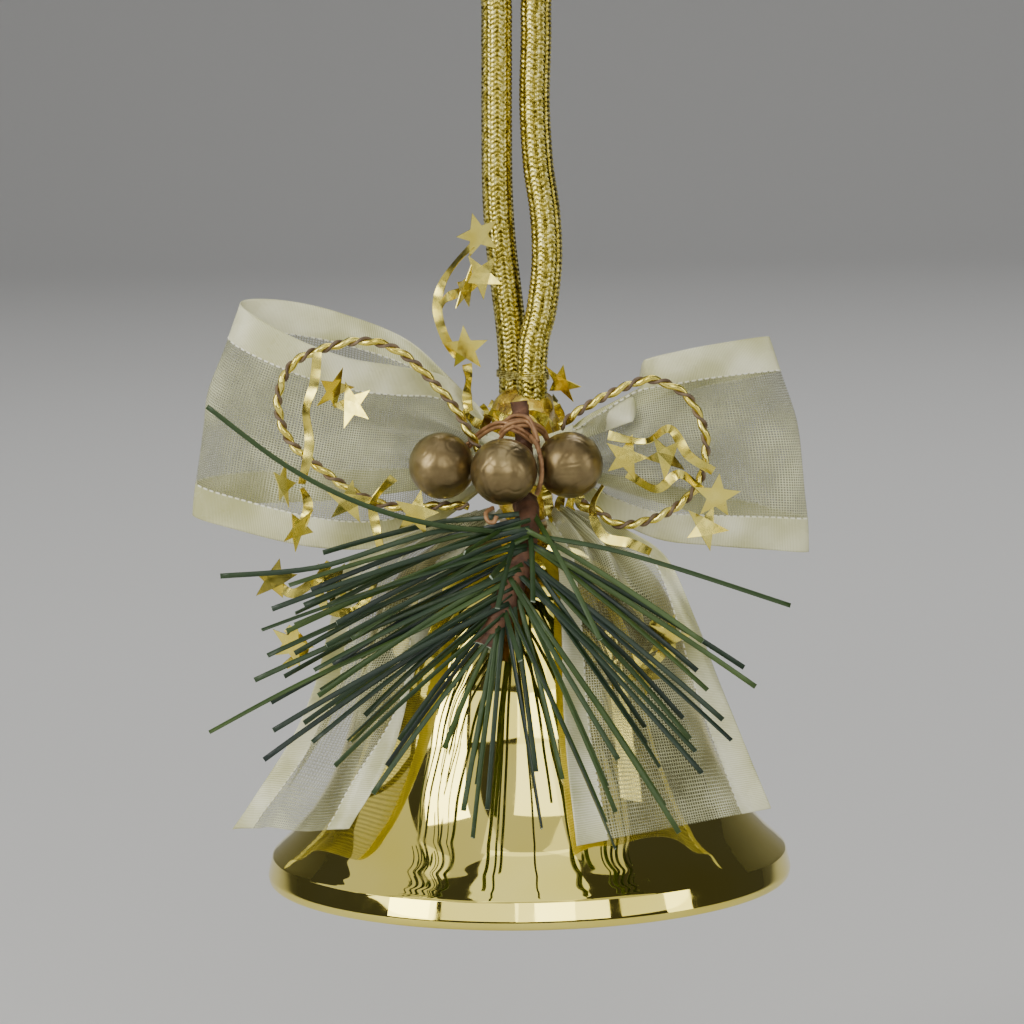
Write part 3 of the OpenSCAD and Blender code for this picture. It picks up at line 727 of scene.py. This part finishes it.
def apply_modifiers(piece):
    bpy.context.view_layer.update()
    done = bpy.data.meshes.new_from_object(piece.evaluated_get(bpy.context.evaluated_depsgraph_get()))
    piece.modifiers.clear()
    piece.data = done


BOX_FACES = [(0, 1, 2, 3), (7, 6, 5, 4), (0, 4, 5, 1), (1, 5, 6, 2), (2, 6, 7, 3), (3, 7, 4, 0)]
BOX_CORNERS = ((-1, -1), (1, -1), (1, 1), (-1, 1))
# Distance between stitches, the share of it that shows as thread, and the thread's size.
SEAM_PITCH, SEAM_SHARE, SEAM_PROUD, SEAM_HALF_W = 1.15, 0.62, 0.12, 0.13


def stitches(name, grid, v):
    """Running stitches along both satin bands, a thread's width proud on each side of the cloth."""
    build = Build()
    steps = len(grid) - 1
    for line in (BAND_SHARE, 1 - BAND_SHARE):
        j = int(np.argmin(np.abs(v - line)))
        row = grid[:, j]
        run = np.concatenate([[0], np.cumsum(np.linalg.norm(np.diff(row, axis=0), axis=1))])
        wide = unit(np.gradient(grid[:, j - 1 : j + 2], axis=1)[:, 1])
        tangent = unit(np.gradient(row, axis=0))
        up = unit(np.cross(tangent, wide))
        for k in range(int(run[-1] / SEAM_PITCH)):
            ends = [np.interp((k + f) * SEAM_PITCH, run, np.arange(steps + 1)) for f in (0, SEAM_SHARE)]
            box = []
            for e in ends:
                i, f = min(int(e), steps - 1), e - min(int(e), steps - 1)
                at = row[i] * (1 - f) + row[i + 1] * f
                for side, lift in BOX_CORNERS:
                    box.append(at + wide[i] * side * SEAM_HALF_W + up[i] * lift * SEAM_PROUD)
            build.add(place(box), BOX_FACES, smooth=False)
    return build.piece(name + "_stitches", [STITCH])


def pleat_count(u, looped):
    return PLEATS - PLEATS_LOST * (np.sin(np.pi * u) if looped else u)


def pleats(phase, lean, looped):
    """Uneven pleats that fade from the knot, lean along the cloth and are calmer in the satin bands."""
    def fold(u, v):
        calm = 0.4 + 0.6 * np.sin(np.pi * np.clip(v, 0, 1)) ** 0.7
        flat = 1 - np.exp(-(((u - 0.5) / 0.16) ** 2)) if looped else 1
        warp = v + 0.06 * np.sin(2 * np.pi * (1.3 * v + 0.5 * u) + phase)
        wave = np.sin(2 * np.pi * (pleat_count(u, looped) * warp + lean * u) + phase)
        slow = np.sin(2 * np.pi * (1.25 * v + 0.9 * u) + 2 * phase)
        return (wave + 0.3 * slow) * calm * flat
    return fold


def drape(u, v, phase, looped):
    """Broad soft folds that sweep round with the cloth, in millimetres."""
    flat = 1 - np.exp(-(((u - 0.5) / 0.13) ** 2)) if looped else np.sin(np.pi * np.clip(u, 0, 1) / 1.6)
    held = np.sin(np.pi * np.clip(v, 0, 1)) ** 0.8
    crest = np.sin(2 * np.pi * (1.1 * v + 1.6 * u) + phase)
    cross = 0.5 * np.sin(2 * np.pi * (2.1 * v - 1.3 * u) + 3 * phase)
    size = LOOP_DRAPE if looped else TAIL_DRAPE
    return size * flat * held * (crest + cross) * np.sin(np.pi * u) ** 0.6


def make_ribbon():
    for name, low, high, length, held, looped, phase, lean, turn_back, bulge, tuck in (
        ("loop_left", LOOP_LEFT_LOW, LOOP_LEFT_HIGH, 95, "gathered", True, 0.6, 0.5, 0, -2.2, -1),
        ("loop_right", LOOP_RIGHT_LOW, LOOP_RIGHT_HIGH, 79, "gathered", True, 2.1, -0.4, 0, 2.4, 0.2),
        ("tail_left", TAIL_LEFT_OUTER, TAIL_LEFT_INNER, 66, "hung", False, 1.0, 0.3, 0.7, 0, -1),
        ("tail_right", TAIL_RIGHT_INNER, TAIL_RIGHT_OUTER, 58, "hung", False, 2.2, 0.3, 0, 0, -1),
    ):
        fold = pleats(phase, lean, looped)
        ribbon(
            f"ribbon_{name}", f"bow_{name}", low, high, length, looped, fold, turn_back, bulge, tuck
        )


KNOT_ROUTE = [(-7, -9, 72.2), (-3, -10.4, 71.6), (3, -10.4, 71.4), (8.4, -9, 71.8)]
# Half height, half depth, share lost at the pinch, and the number and share of the pleats.
KNOT_TALL, KNOT_DEEP, KNOT_PINCH, KNOT_PLEATS, KNOT_PLEAT = 4.9, 2.1, 0.28, 9, 0.16


def make_knot():
    """The pinched middle of the ribbon, in pleats from one loop to the other."""
    steps, sides = 40, 96
    path = smooth_path(KNOT_ROUTE, steps)
    a = angles(sides)
    pinch = 1 - KNOT_PINCH * np.sin(np.pi * np.linspace(0, 1, steps + 1))
    pleat = 1 + KNOT_PLEAT * np.sin(KNOT_PLEATS * a)[None, :] * (0.5 + pinch[:, None] / 2)
    tall = KNOT_TALL * pinch[:, None] * pleat
    deep = KNOT_DEEP * pleat
    ring = path[:, None] + np.stack([
        np.zeros((steps + 1, sides)), deep * np.sin(a), tall * np.cos(a),
    ], axis=2)
    uv = np.stack(np.broadcast_arrays(
        np.linspace(0, 0.016, steps + 1)[:, None], (a / 20)[None, :]), axis=2).reshape(-1, 2)
    piece = mesh_piece(
        "ribbon_knot", place(ring.reshape(-1, 3)), ring_faces(steps + 1, sides), [SATIN], uv=uv
    )
    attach(piece, "bell")
    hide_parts("bow_knot")


# ---------------------------------------------------------------- berries, stems and glue

BERRY_R = 5.5
# Middle, depth of the wrinkles, and seed.
BERRIES = {
    "left": ((-13.2, -19, 72), 0.04, 3),
    "centre": ((-3.1, -23.4, 71.4), 0.07, 7),
    "right": ((7.6, -19, 71.8), 0.05, 5),
}


def unit_ball(rows, cols):
    """Closed ball of quads with a small cap at each end."""
    cap = 0.02
    lat = np.linspace(cap, np.pi - cap, rows)
    faces = [tuple(reversed(f)) for f in ring_faces(rows, cols)]
    return turned(np.sin(lat)[:, None], np.cos(lat), cols), faces


def waves(way, seed, count, low, high):
    """Smooth lumps over a ball, from a few seeded plane waves."""
    rng = np.random.default_rng(seed)
    total = np.zeros(len(way))
    for _ in range(count):
        k = unit(rng.normal(size=3)) * rng.uniform(low, high)
        total += np.sin(way @ k + rng.uniform(0, 6.28))
    return total / math.sqrt(count)


def make_berry(side):
    centre, depth, seed = BERRIES[side]
    way, faces = unit_ball(96, 128)
    lumps = 0.05 * waves(way, seed, 6, 2, 5) + 0.3 * depth * waves(way, seed + 50, 7, 5, 10)
    wrinkle = -depth * np.exp(-(waves(way, seed + 20, 7, 5, 14) ** 2) / 0.05)
    verts = np.asarray(centre) + (BERRY_R - 0.08 + (lumps + wrinkle)[:, None]) * way
    piece = mesh_piece(f"berry_{side}_pearl", place(verts), faces, [LACQUER])
    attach(piece, "bell")
    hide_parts(f"berry_{side}")


# Each coil is wound with pairs of thin wire that lie this far above and below its route.
COIL_WIRE_R, COIL_APART = 0.34, 0.36
BERRY_COILS = [
    [(-9.6, -15, 74), (-6.4, -15.6, 77), (-3.4, -17.6, 78.4), (-0.4, -18.8, 77.4), (1.8, -18.6, 75.8)],
    [(4.4, -15, 74.6), (3.2, -16.6, 77.2), (0.4, -18.4, 78.6), (-2.4, -18.4, 78), (-3.6, -17.6, 76.4)],
    [(2.6, -20.6, 75.4), (1.2, -18.6, 79), (-1.6, -17.8, 79.4), (-3.4, -16.8, 77.6)],
]
CURL_R = 0.4
CURL = [(-5, -24.4, 65.6), (-6.1, -25.8, 65), (-5.8, -26.8, 63.8), (-4.9, -26.8, 63.6), (-4.4, -26.4, 64.5)]
# One wire goes on down between the middle and the right berry.
DOWN_R = 0.42
DOWN_WIRE = [(1.4, -19.4, 76.6), (2.4, -21.6, 75.2), (3, -23, 72.6), (2.9, -22.9, 69.8), (2.2, -21.2, 67.4)]
TAPED_R = 1.5
TAPED_END = [(0.4, -15.4, 73), (0.2, -16.2, 76), (-0.1, -16.4, 79), (-0.4, -16.2, 82)]
SPRIG_R = 2.25
SPRIG_ROUTE = [(0.2, -15.4, 65.4), (0.6, -19.6, 63), (-0.6, -24, 57), (-3.6, -29, 49.6), (-6.6, -31.6, 43.8)]
SCRAPS = 9
# Along each scrap: share of its turn, distance from the glue, and rise.
SCRAP_BENDS = ((0, 0, 0), (0.4, 0.9, 1.8), (0.8, 1.1, 3.4), (1, 2.4, 4.4))
SCRAP_AWAY = 5.6
# Ends of foil that come out of the knot between the stem and the right loop.
FOIL_ENDS = [
    [(3.4, -10.6, 68.4), (3.9, -12.6, 65.8), (4.4, -13.2, 63.6), (5.2, -13.6, 61.6)],
    [(5, -10.4, 68.2), (6.2, -12.4, 66.2), (5.9, -13.1, 63.8), (7.2, -13.8, 61.8)],
    [(6.8, -10.2, 68), (7.9, -12, 65.8), (7.6, -12.8, 63.6), (9.2, -13.6, 61.8)],
    [(8.2, -10, 67.8), (9.2, -11.8, 66.2), (9.4, -12.6, 64.4), (11.6, -13.2, 63)],
]


def wrapped(route, radius, seed, lap, gap=0.1, sides=28):
    """Wire with paper wound round it. Each turn, lap long, overlaps the last and stands a little proud."""
    path, run = even_path(route, gap)
    a = angles(sides)
    turn = (run[:, None] / lap + a[None, :] / (2 * np.pi)) % 1
    ways = np.broadcast_arrays(np.cos(a)[None, :], np.sin(a)[None, :], run[:, None] / radius / 2)
    way = np.stack(ways, axis=2)
    crinkle = waves(way.reshape(-1, 3), seed, 7, 3, 9).reshape(turn.shape)
    shape = radius * (0.86 + 0.12 * turn + 0.045 * crinkle)
    return place(tube_points(path, shape, sides)), ring_faces(len(path), sides)


def make_stems():
    wires = Build()
    for route in BERRY_COILS:
        for side in (-1, 1):
            path, _ = even_path(np.array(route) + [0, 0, side * COIL_APART], 0.1)
            wires.add(place(tube_points(path, COIL_WIRE_R, 16)), ring_faces(len(path), 16), material=1)
    wires.add(*wrapped(CURL, CURL_R, 33, 0.9), material=1)
    wires.add(*wrapped(DOWN_WIRE, DOWN_R, 35, 0.9), material=1)
    wires.add(*wrapped(TAPED_END, TAPED_R, 34, 2.4))
    piece = wires.piece("berry_wires", [PAPER, WAXED])
    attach(piece, "bell")
    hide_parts("berry_stems")
    sprig = Build()
    sprig.add(*wrapped(SPRIG_ROUTE, SPRIG_R, 41, 2.6, gap=0.16, sides=48), end_material=1)
    piece = sprig.piece("sprig_wrap", [PAPER, CUT])
    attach(piece, "bell")
    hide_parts("sprig_stem")


# The lump's axis, and its radius and height from the bell up.
GLUE_X, GLUE_Y = 0.3, -1.6
GLUE_PROFILE = [
    (0.2, 60.5), (3, 60.6), (4.4, 63), (5.3, 67), (5.9, 72), (6.1, 76), (5.9, 78.6), (5.2, 80.6), (4.2, 81.8),
    (2.6, 82.6), (0.2, 82.8),
]


def make_glue():
    """Lump of glue and crushed foil that the cord's ends go into."""
    segments = 150
    profile = smooth_path([(r, 0, z) for r, z in GLUE_PROFILE], 130)
    way = turned(np.ones((len(profile), 1)), profile[:, 2] / 6, segments)
    crease = -np.abs(waves(way, 53, 8, 4, 9))
    lump = 1 + (0.07 * waves(way, 51, 8, 2, 5) + 0.07 * crease).reshape(len(profile), segments)
    verts = turned(profile[:, :1] * lump, profile[:, 2], segments, (GLUE_X, GLUE_Y))
    piece = mesh_piece("glue_lump", place(verts), ring_faces(len(profile), segments), [GLUE])
    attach(piece, "bell")
    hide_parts("glue_collar")
    rng = np.random.default_rng(61)
    build = Build()
    for k in range(SCRAPS):
        turn = 2 * math.pi * k / SCRAPS + rng.uniform(-0.3, 0.3)
        low = rng.uniform(73.1, 76.9)
        sweep = rng.uniform(0.5, 1.1) * rng.choice([-1, 1])
        route = []
        for f, lift, rise in SCRAP_BENDS:
            angle = turn + f * sweep
            away = SCRAP_AWAY + lift
            route.append((GLUE_X + away * math.cos(angle), GLUE_Y + away * math.sin(angle), low + rise))
        build.add(*curl_mesh(route, rng), smooth=False)
    for route in FOIL_ENDS:
        build.add(*curl_mesh(route, rng), smooth=False)
    piece = build.piece("foil_scraps", [FOIL])
    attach(piece, "bell")


# ---------------------------------------------------------------- the pine sprig

NEEDLE_W, NEEDLE_T, NEEDLE_LIFT, NEEDLE_SIDES = 0.88, 0.42, 8.2, 10
# Radius and height of the bell where the needles lie over it.
SHELL = [
    (44, 4.6), (42.4, 5.6), (39.6, 8.2), (36, 12.4), (32.6, 18.4), (29.6, 27), (27.4, 37), (24.8, 45.4),
    (20.6, 52), (14, 56.8), (5, 59.6),
]
# Count, then for the first and the last needle: lean from straight down, reach, and place along the stem.
FANS = {
    "left": [(27, (-78, 47, 0.7), (-62, 45, 2.8)), (8, (-62, 40, 2.4), (-38, 34, 3.3))],
    "down": [(7, (-24, 29, 3.4), (12, 36, 2.7))],
    "right": [(9, (19, 40, 2.8), (42, 48, 2)), (12, (42, 45, 2.2), (64, 45, 1.3))],
}
LEAN_SPREAD = 12
# How far a needle stands out for each unit of its length, at the least and with its depth share.
OUT_LEAST, OUT_MORE = 0.19, 0.18
DROOP, SPLAY = 2.4, 5
# Needles whose depth share is above this start on the front of the stem, on its far side.
FRONT_SHARE = 0.55
# Single needles outside the fans.
STRAYS = [
    [(-1.2, -24, 61.4), (-14, -27.6, 63.4), (-26, -29, 67.2), (-38, -29, 73.6), (-50.5, -29, 83.4)],
    [(1.6, -24.6, 61), (13, -28, 59.2), (25, -30.6, 55.9), (42.6, -31, 49.8)],
    [(-0.6, -22.5, 61.6), (-11.9, -26, 62.4), (-20.2, -29, 60.9), (-33.5, -31, 57.3), (-48.9, -31, 56.2)],
    [(-3, -28.6, 54), (-16.9, -33, 47.4), (-35.8, -36.5, 39.6), (-50.8, -39, 32.2)],
    [(-1.4, -24, 60.9), (-3, -30.6, 56.2), (-4.5, -36, 50.9)],
    [(-2.6, -27, 57.5), (-4, -33.5, 57.2), (-5.4, -40, 56.5)],
    [(-1.5, -21, 62.6), (-5.4, -27.6, 61.4), (-9.6, -34, 59.7)],
    [(0.8, -20, 63.6), (1.2, -28.8, 58), (1.2, -36, 51.9)],
    [(-3.6, -29.5, 50.4), (-2.4, -35, 47), (-1, -40, 43)],
    [(-2.4, -28, 54.6), (4.3, -38, 44.1), (14.3, -42, 27.2)],
    [(1.4, -20, 64.4), (6.4, -30.6, 56.5), (11.8, -38, 45.9)],
]


def shell_front(x, z):
    heights, radii = [p[1] for p in SHELL], [p[0] for p in SHELL]
    r = np.maximum(np.interp(z, heights, radii), 17)
    return np.sqrt(np.maximum(r * r - x * x, 0))


def needle_route(i, fan):
    """A needle's line, by the rule that the CAD source gives."""
    count, first, last = fan
    share, depth, stray = i * 0.618034 % 1, (i * 0.569840 + 0.2) % 1, i * 0.754878 % 1 - 0.5
    own = np.array(first) + (np.array(last) - np.array(first)) * (i + 0.5) / count
    lean = math.radians(own[0] + LEAN_SPREAD * stray)
    reach = own[1] * (0.7 + 0.3 * share)
    out = unit(np.array([math.sin(lean), -(OUT_LEAST + OUT_MORE * depth), -math.cos(lean)]))
    stem = smooth_path(SPRIG_ROUTE, 400)
    root = stem[int(round((own[2] + 0.7 * (share - 0.5)) * 100))] + out * 1.2
    if depth > FRONT_SHARE:
        root = root + np.array([-1.6 * math.sin(lean), -1.9, 0.6])
    f = np.linspace(0, 1, 25)[:, None]
    p = root + out * reach * f + np.array([0, 0, -DROOP]) * f**2
    p[:, 1] = np.minimum(p[:, 1], -shell_front(p[:, 0], p[:, 2]) - NEEDLE_LIFT - SPLAY * depth * f[:, 0])
    return p


def needle_mesh(route, roll, twist, steps=16):
    """Flat strip with rounded edges and a shallow groove, rolled about its length, with a square cut tip."""
    path = smooth_path(route, steps)
    a = 2 * np.pi * (np.arange(NEEDLE_SIDES) + 0.5) / NEEDLE_SIDES
    flat = np.sign(np.cos(a)) * np.abs(np.cos(a)) ** 0.7 * NEEDLE_W / 2
    thick = np.sin(a) * NEEDLE_T / 2 * (1 - 0.35 * np.exp(-((flat / 0.3) ** 2)))
    wide, up = rolled(path, roll + twist * np.linspace(0, 1, len(path)))
    verts = path[:, None] + flat[None, :, None] * wide[:, None] + thick[None, :, None] * up[:, None]
    return place(verts.reshape(-1, 3)), ring_faces(len(path), len(a))


def make_needles():
    rng = np.random.default_rng(8)
    for side, fans in FANS.items():
        build = Build()
        for fan in fans:
            for i in range(fan[0]):
                route = needle_route(i, fan)
                mesh = needle_mesh(route, rng.uniform(-0.9, 0.9), rng.uniform(-0.5, 0.5))
                build.add(*mesh, tone=rng.uniform(0, 1), end_material=1)
        finish_needles(build, side)
    build = Build()
    for route in STRAYS:
        mesh = needle_mesh(route, rng.uniform(-0.6, 0.6), rng.uniform(-0.5, 0.5), 24)
        build.add(*mesh, tone=rng.uniform(0.3, 0.9), end_material=1)
    finish_needles(build, "stray")


def finish_needles(build, side):
    piece = build.piece(f"pine_{side}", [GREEN, CUT])
    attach(piece, "bell")
    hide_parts(f"needles_{side}")


# ---------------------------------------------------------------- the garland

GARLAND_LEFT = [
    (-7.1, -17.5, 74.3), (-8.7, -17.5, 77.2), (-10.6, -17.6, 80.8), (-13.1, -17.7, 84.1),
    (-19.1, -17.8, 90.2), (-24.8, -17.6, 92.4), (-31.3, -17.4, 91.5), (-37.1, -17.2, 88.9),
    (-39.7, -17.2, 83.3), (-38.4, -17.4, 77.1), (-34.3, -17.6, 72.8), (-27, -18, 67.4),
    (-20.5, -18.4, 65.2), (-14.1, -18.8, 65.4), (-9, -19, 65.3),
]
GARLAND_RIGHT = [
    (6.2, -15.4, 77.6), (9.6, -16, 80.4), (15.8, -16.2, 83.6), (21, -16.2, 85.2), (26, -16.2, 83.2),
    (28.6, -16.2, 79.8), (30, -16.4, 74.6), (28.8, -16.6, 68.4), (25.4, -16.8, 64.6), (20.6, -17, 62.2),
    (15.4, -17.4, 61.6), (12.6, -17.8, 63.6), (9.4, -18, 65.4),
]
TWIST_PITCH = 4.4
# Each strand's distance off the route, radius and material: foil, then wire.
TWISTED = ((0.27, 0.54, 0), (-0.5, 0.28, 1))
TWIST_SIDES = 14


def twisted(route, build):
    """A rolled strand of gold foil and a thinner brown wire, twisted round each other."""
    path, run = even_path(route, 0.16)
    _, s, n = frames_of(path)
    angle = 2 * np.pi * (run / TWIST_PITCH + 0.12 * np.sin(run / 7))
    way = np.cos(angle)[:, None] * s + np.sin(angle)[:, None] * n
    for off, radius, material in TWISTED:
        verts = tube_points(path + off * way, radius, TWIST_SIDES)
        build.add(place(verts), ring_faces(len(path), TWIST_SIDES), material=material)


def make_garland():
    for side, route in (("left", GARLAND_LEFT), ("right", GARLAND_RIGHT)):
        build = Build()
        twisted(route, build)
        piece = build.piece(f"twist_{side}", [FOIL, BROWN])
        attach(piece, "bell")
        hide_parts(f"garland_loop_{side}")


FOIL_W, FOIL_T, STAR_R, STAR_WAIST = 1.6, 0.12, 4.0, 0.42
# For each strand, the routes of its strips, and each star's middle, spin and two tilts in degrees.
STRANDS_OF_STARS = {
    "top": (
        [
            [(-9.6, -7, 88), (-11.8, -6.8, 90.6), (-13.2, -6.6, 94), (-13.6, -6.6, 97.4), (-12.6, -6.6, 101),
             (-10.2, -6.6, 104.4), (-7.6, -6.8, 107)],
            [(-13.2, -7.4, 97.2), (-11.7, -7.6, 98.6), (-9.2, -7.8, 99.6)],
        ],
        [((-6.7, -7.6, 108.7), -18, 12, 16), ((-6.2, -8, 102), 40, -14, 16), ((-8.7, -9, 100), 4, 16, 58),
         ((-9.1, -8.6, 90.1), -2, 10, -12)],
    ),
    "left": (
        [
            [(-33, -19.6, 91), (-33.6, -20.2, 86), (-35, -20.4, 81.6), (-34.6, -20.6, 76),
             (-36, -20.6, 69.6)],
            [(-36, -21, 69), (-35, -21.2, 66), (-36.4, -21.2, 62)],
            [(-21, -20.6, 70.4), (-24.4, -20.8, 66.6), (-24, -21, 62), (-23.4, -21.2, 59)],
            [(-8.9, -7.4, 87.4), (-8.7, -10.6, 85), (-8.9, -14.4, 82.6), (-8.6, -15.8, 80.4)],
            [(-9.6, -15, 80.6), (-7.8, -14.2, 78.6), (-6.2, -13.8, 78), (-5.4, -13.6, 79.6)],
        ],
        [((-30.4, -20.2, 84.8), 12, 18, 48), ((-27.6, -21, 82.4), 50, -12, -40),
         ((-28.4, -21, 66.6), 8, 14, 12), ((-36.6, -22.2, 62.4), 30, 24, 64),
         ((-39, -20, 69.4), 20, -10, 62), ((-17.4, -25, 65), 16, -20, 10)],
    ),
    "right": (
        [
            [(14, -18.2, 76.4), (20, -19, 75.4), (24, -19.2, 77.4), (27, -19.4, 73), (31, -19.6, 70.4)],
            [(17, -18.8, 70.2), (21.6, -19.4, 67.6), (25.4, -19.6, 70), (29, -19.8, 67.4)],
            [(13, -19.8, 68.4), (11.3, -20, 65.4), (11.6, -20.2, 62.4), (13.4, -20.2, 59.8),
             (17.2, -20.2, 58.9), (20.6, -20.4, 57.4)],
        ],
        [((16.8, -18.8, 72.8), 20, -16, 10), ((23.2, -20.6, 73), 44, 20, -18), ((31.4, -21, 66.4), 6, 8, 4),
         ((29.6, -19.4, 61.2), 30, -14, 14), ((6.6, -7.6, 84), 24, 30, -30)],
    ),
    "low": (
        [
            [(-41.4, -20, 54.4), (-38, -20.2, 51.6), (-33, -20.6, 53.8), (-29, -20.6, 50.8)],
            [(-31.6, -22.6, 57), (-33.6, -22.8, 53.4), (-32.2, -22.8, 49.4), (-28, -22.8, 48.8),
             (-25, -22.8, 52), (-23.4, -22.6, 56)],
            [(-39, -20.6, 46), (-36, -20.6, 42.6), (-39.4, -20.6, 39.6)],
            [(20.4, -23.8, 46.6), (22.8, -23.8, 43), (20.6, -25, 39.6)],
        ],
        [((-40.8, -21.6, 54.1), 10, 16, 18), ((-31.4, -22, 53.4), 40, -12, 20),
         ((-38.2, -22, 43.4), 22, 10, -20), ((23, -24.8, 44), 16, 10, 12), ((19.4, -26, 38.6), 38, -8, 14)],
    ),
}


def star_mesh(star, rng):
    """Flat foil star, each of its points bent up or down a little by its own amount."""
    centre, spin, tip_x, tip_z = star
    flat = []
    for i in range(10):
        r = STAR_R if i % 2 == 0 else STAR_R * STAR_WAIST
        lift = rng.uniform(-0.6, 0.6) if i % 2 == 0 else rng.uniform(-0.04, 0.04)
        a = math.radians(i * 36)
        flat.append((r * math.sin(a), r * math.cos(a), lift))
    turn = Euler((math.radians(90 + tip_x), math.radians(spin), math.radians(tip_z))).to_matrix()
    both = [(x, y, z + side * FOIL_T / 2) for side in (1, -1) for x, y, z in flat]
    verts = [Vector(centre) + turn @ Vector(p) for p in both]
    faces = [(9, 7, 5, 3, 1), (11, 13, 15, 17, 19)]
    for i in range(0, 10, 2):
        before, after = (i - 1) % 10, i + 1
        faces += [(before, after, i), (10 + before, 10 + i, 10 + after)]
        faces += [(before, i, 10 + i, 10 + before), (i, after, 10 + after, 10 + i)]
    return place(verts), faces


def curl_mesh(route, rng):
    """Foil strip that rolls a little about its own length."""
    path, run = even_path(route, 0.14)
    turn = rng.uniform(-0.6, 0.6) + 0.8 * np.sin(run / run[-1] * 5 + rng.uniform(0, 6))
    wide, up = rolled(path, turn)
    verts = np.stack([path + wide * x * FOIL_W / 2 + up * z * FOIL_T / 2 for x, z in BOX_CORNERS], axis=1)
    return place(verts.reshape(-1, 3)), ring_faces(len(path), 4)


def make_stars():
    rng = np.random.default_rng(21)
    for name, (strips, stars) in STRANDS_OF_STARS.items():
        build = Build()
        for route in strips:
            build.add(*curl_mesh(route, rng), smooth=False)
        for star in stars:
            build.add(*star_mesh(star, rng), smooth=False)
        piece = build.piece(f"stars_{name}", [FOIL])
        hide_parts(f"star_strand_{name}")
        if name == "top":
            bend_with_cord(piece)
        else:
            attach(piece, "bell")


# ---------------------------------------------------------------- CAD nodes that show as they are

def dress_nodes():
    dress = {
        "crown_washer": WIRE, "inside_washer": WIRE, "crown_pin": WIRE,
        "clapper_link": WIRE, "clapper_rod": WIRE, "clapper_ball": CLAPPER,
    }
    for node, material in dress.items():
        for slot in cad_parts[node].material_slots:
            slot.material = material


make_camera()
make_cord()
make_light()
make_stage()
make_whipping()
make_bell()
make_ribbon()
make_knot()
for berry in BERRIES:
    make_berry(berry)
make_stems()
make_glue()
make_needles()
make_garland()
make_stars()
dress_nodes()
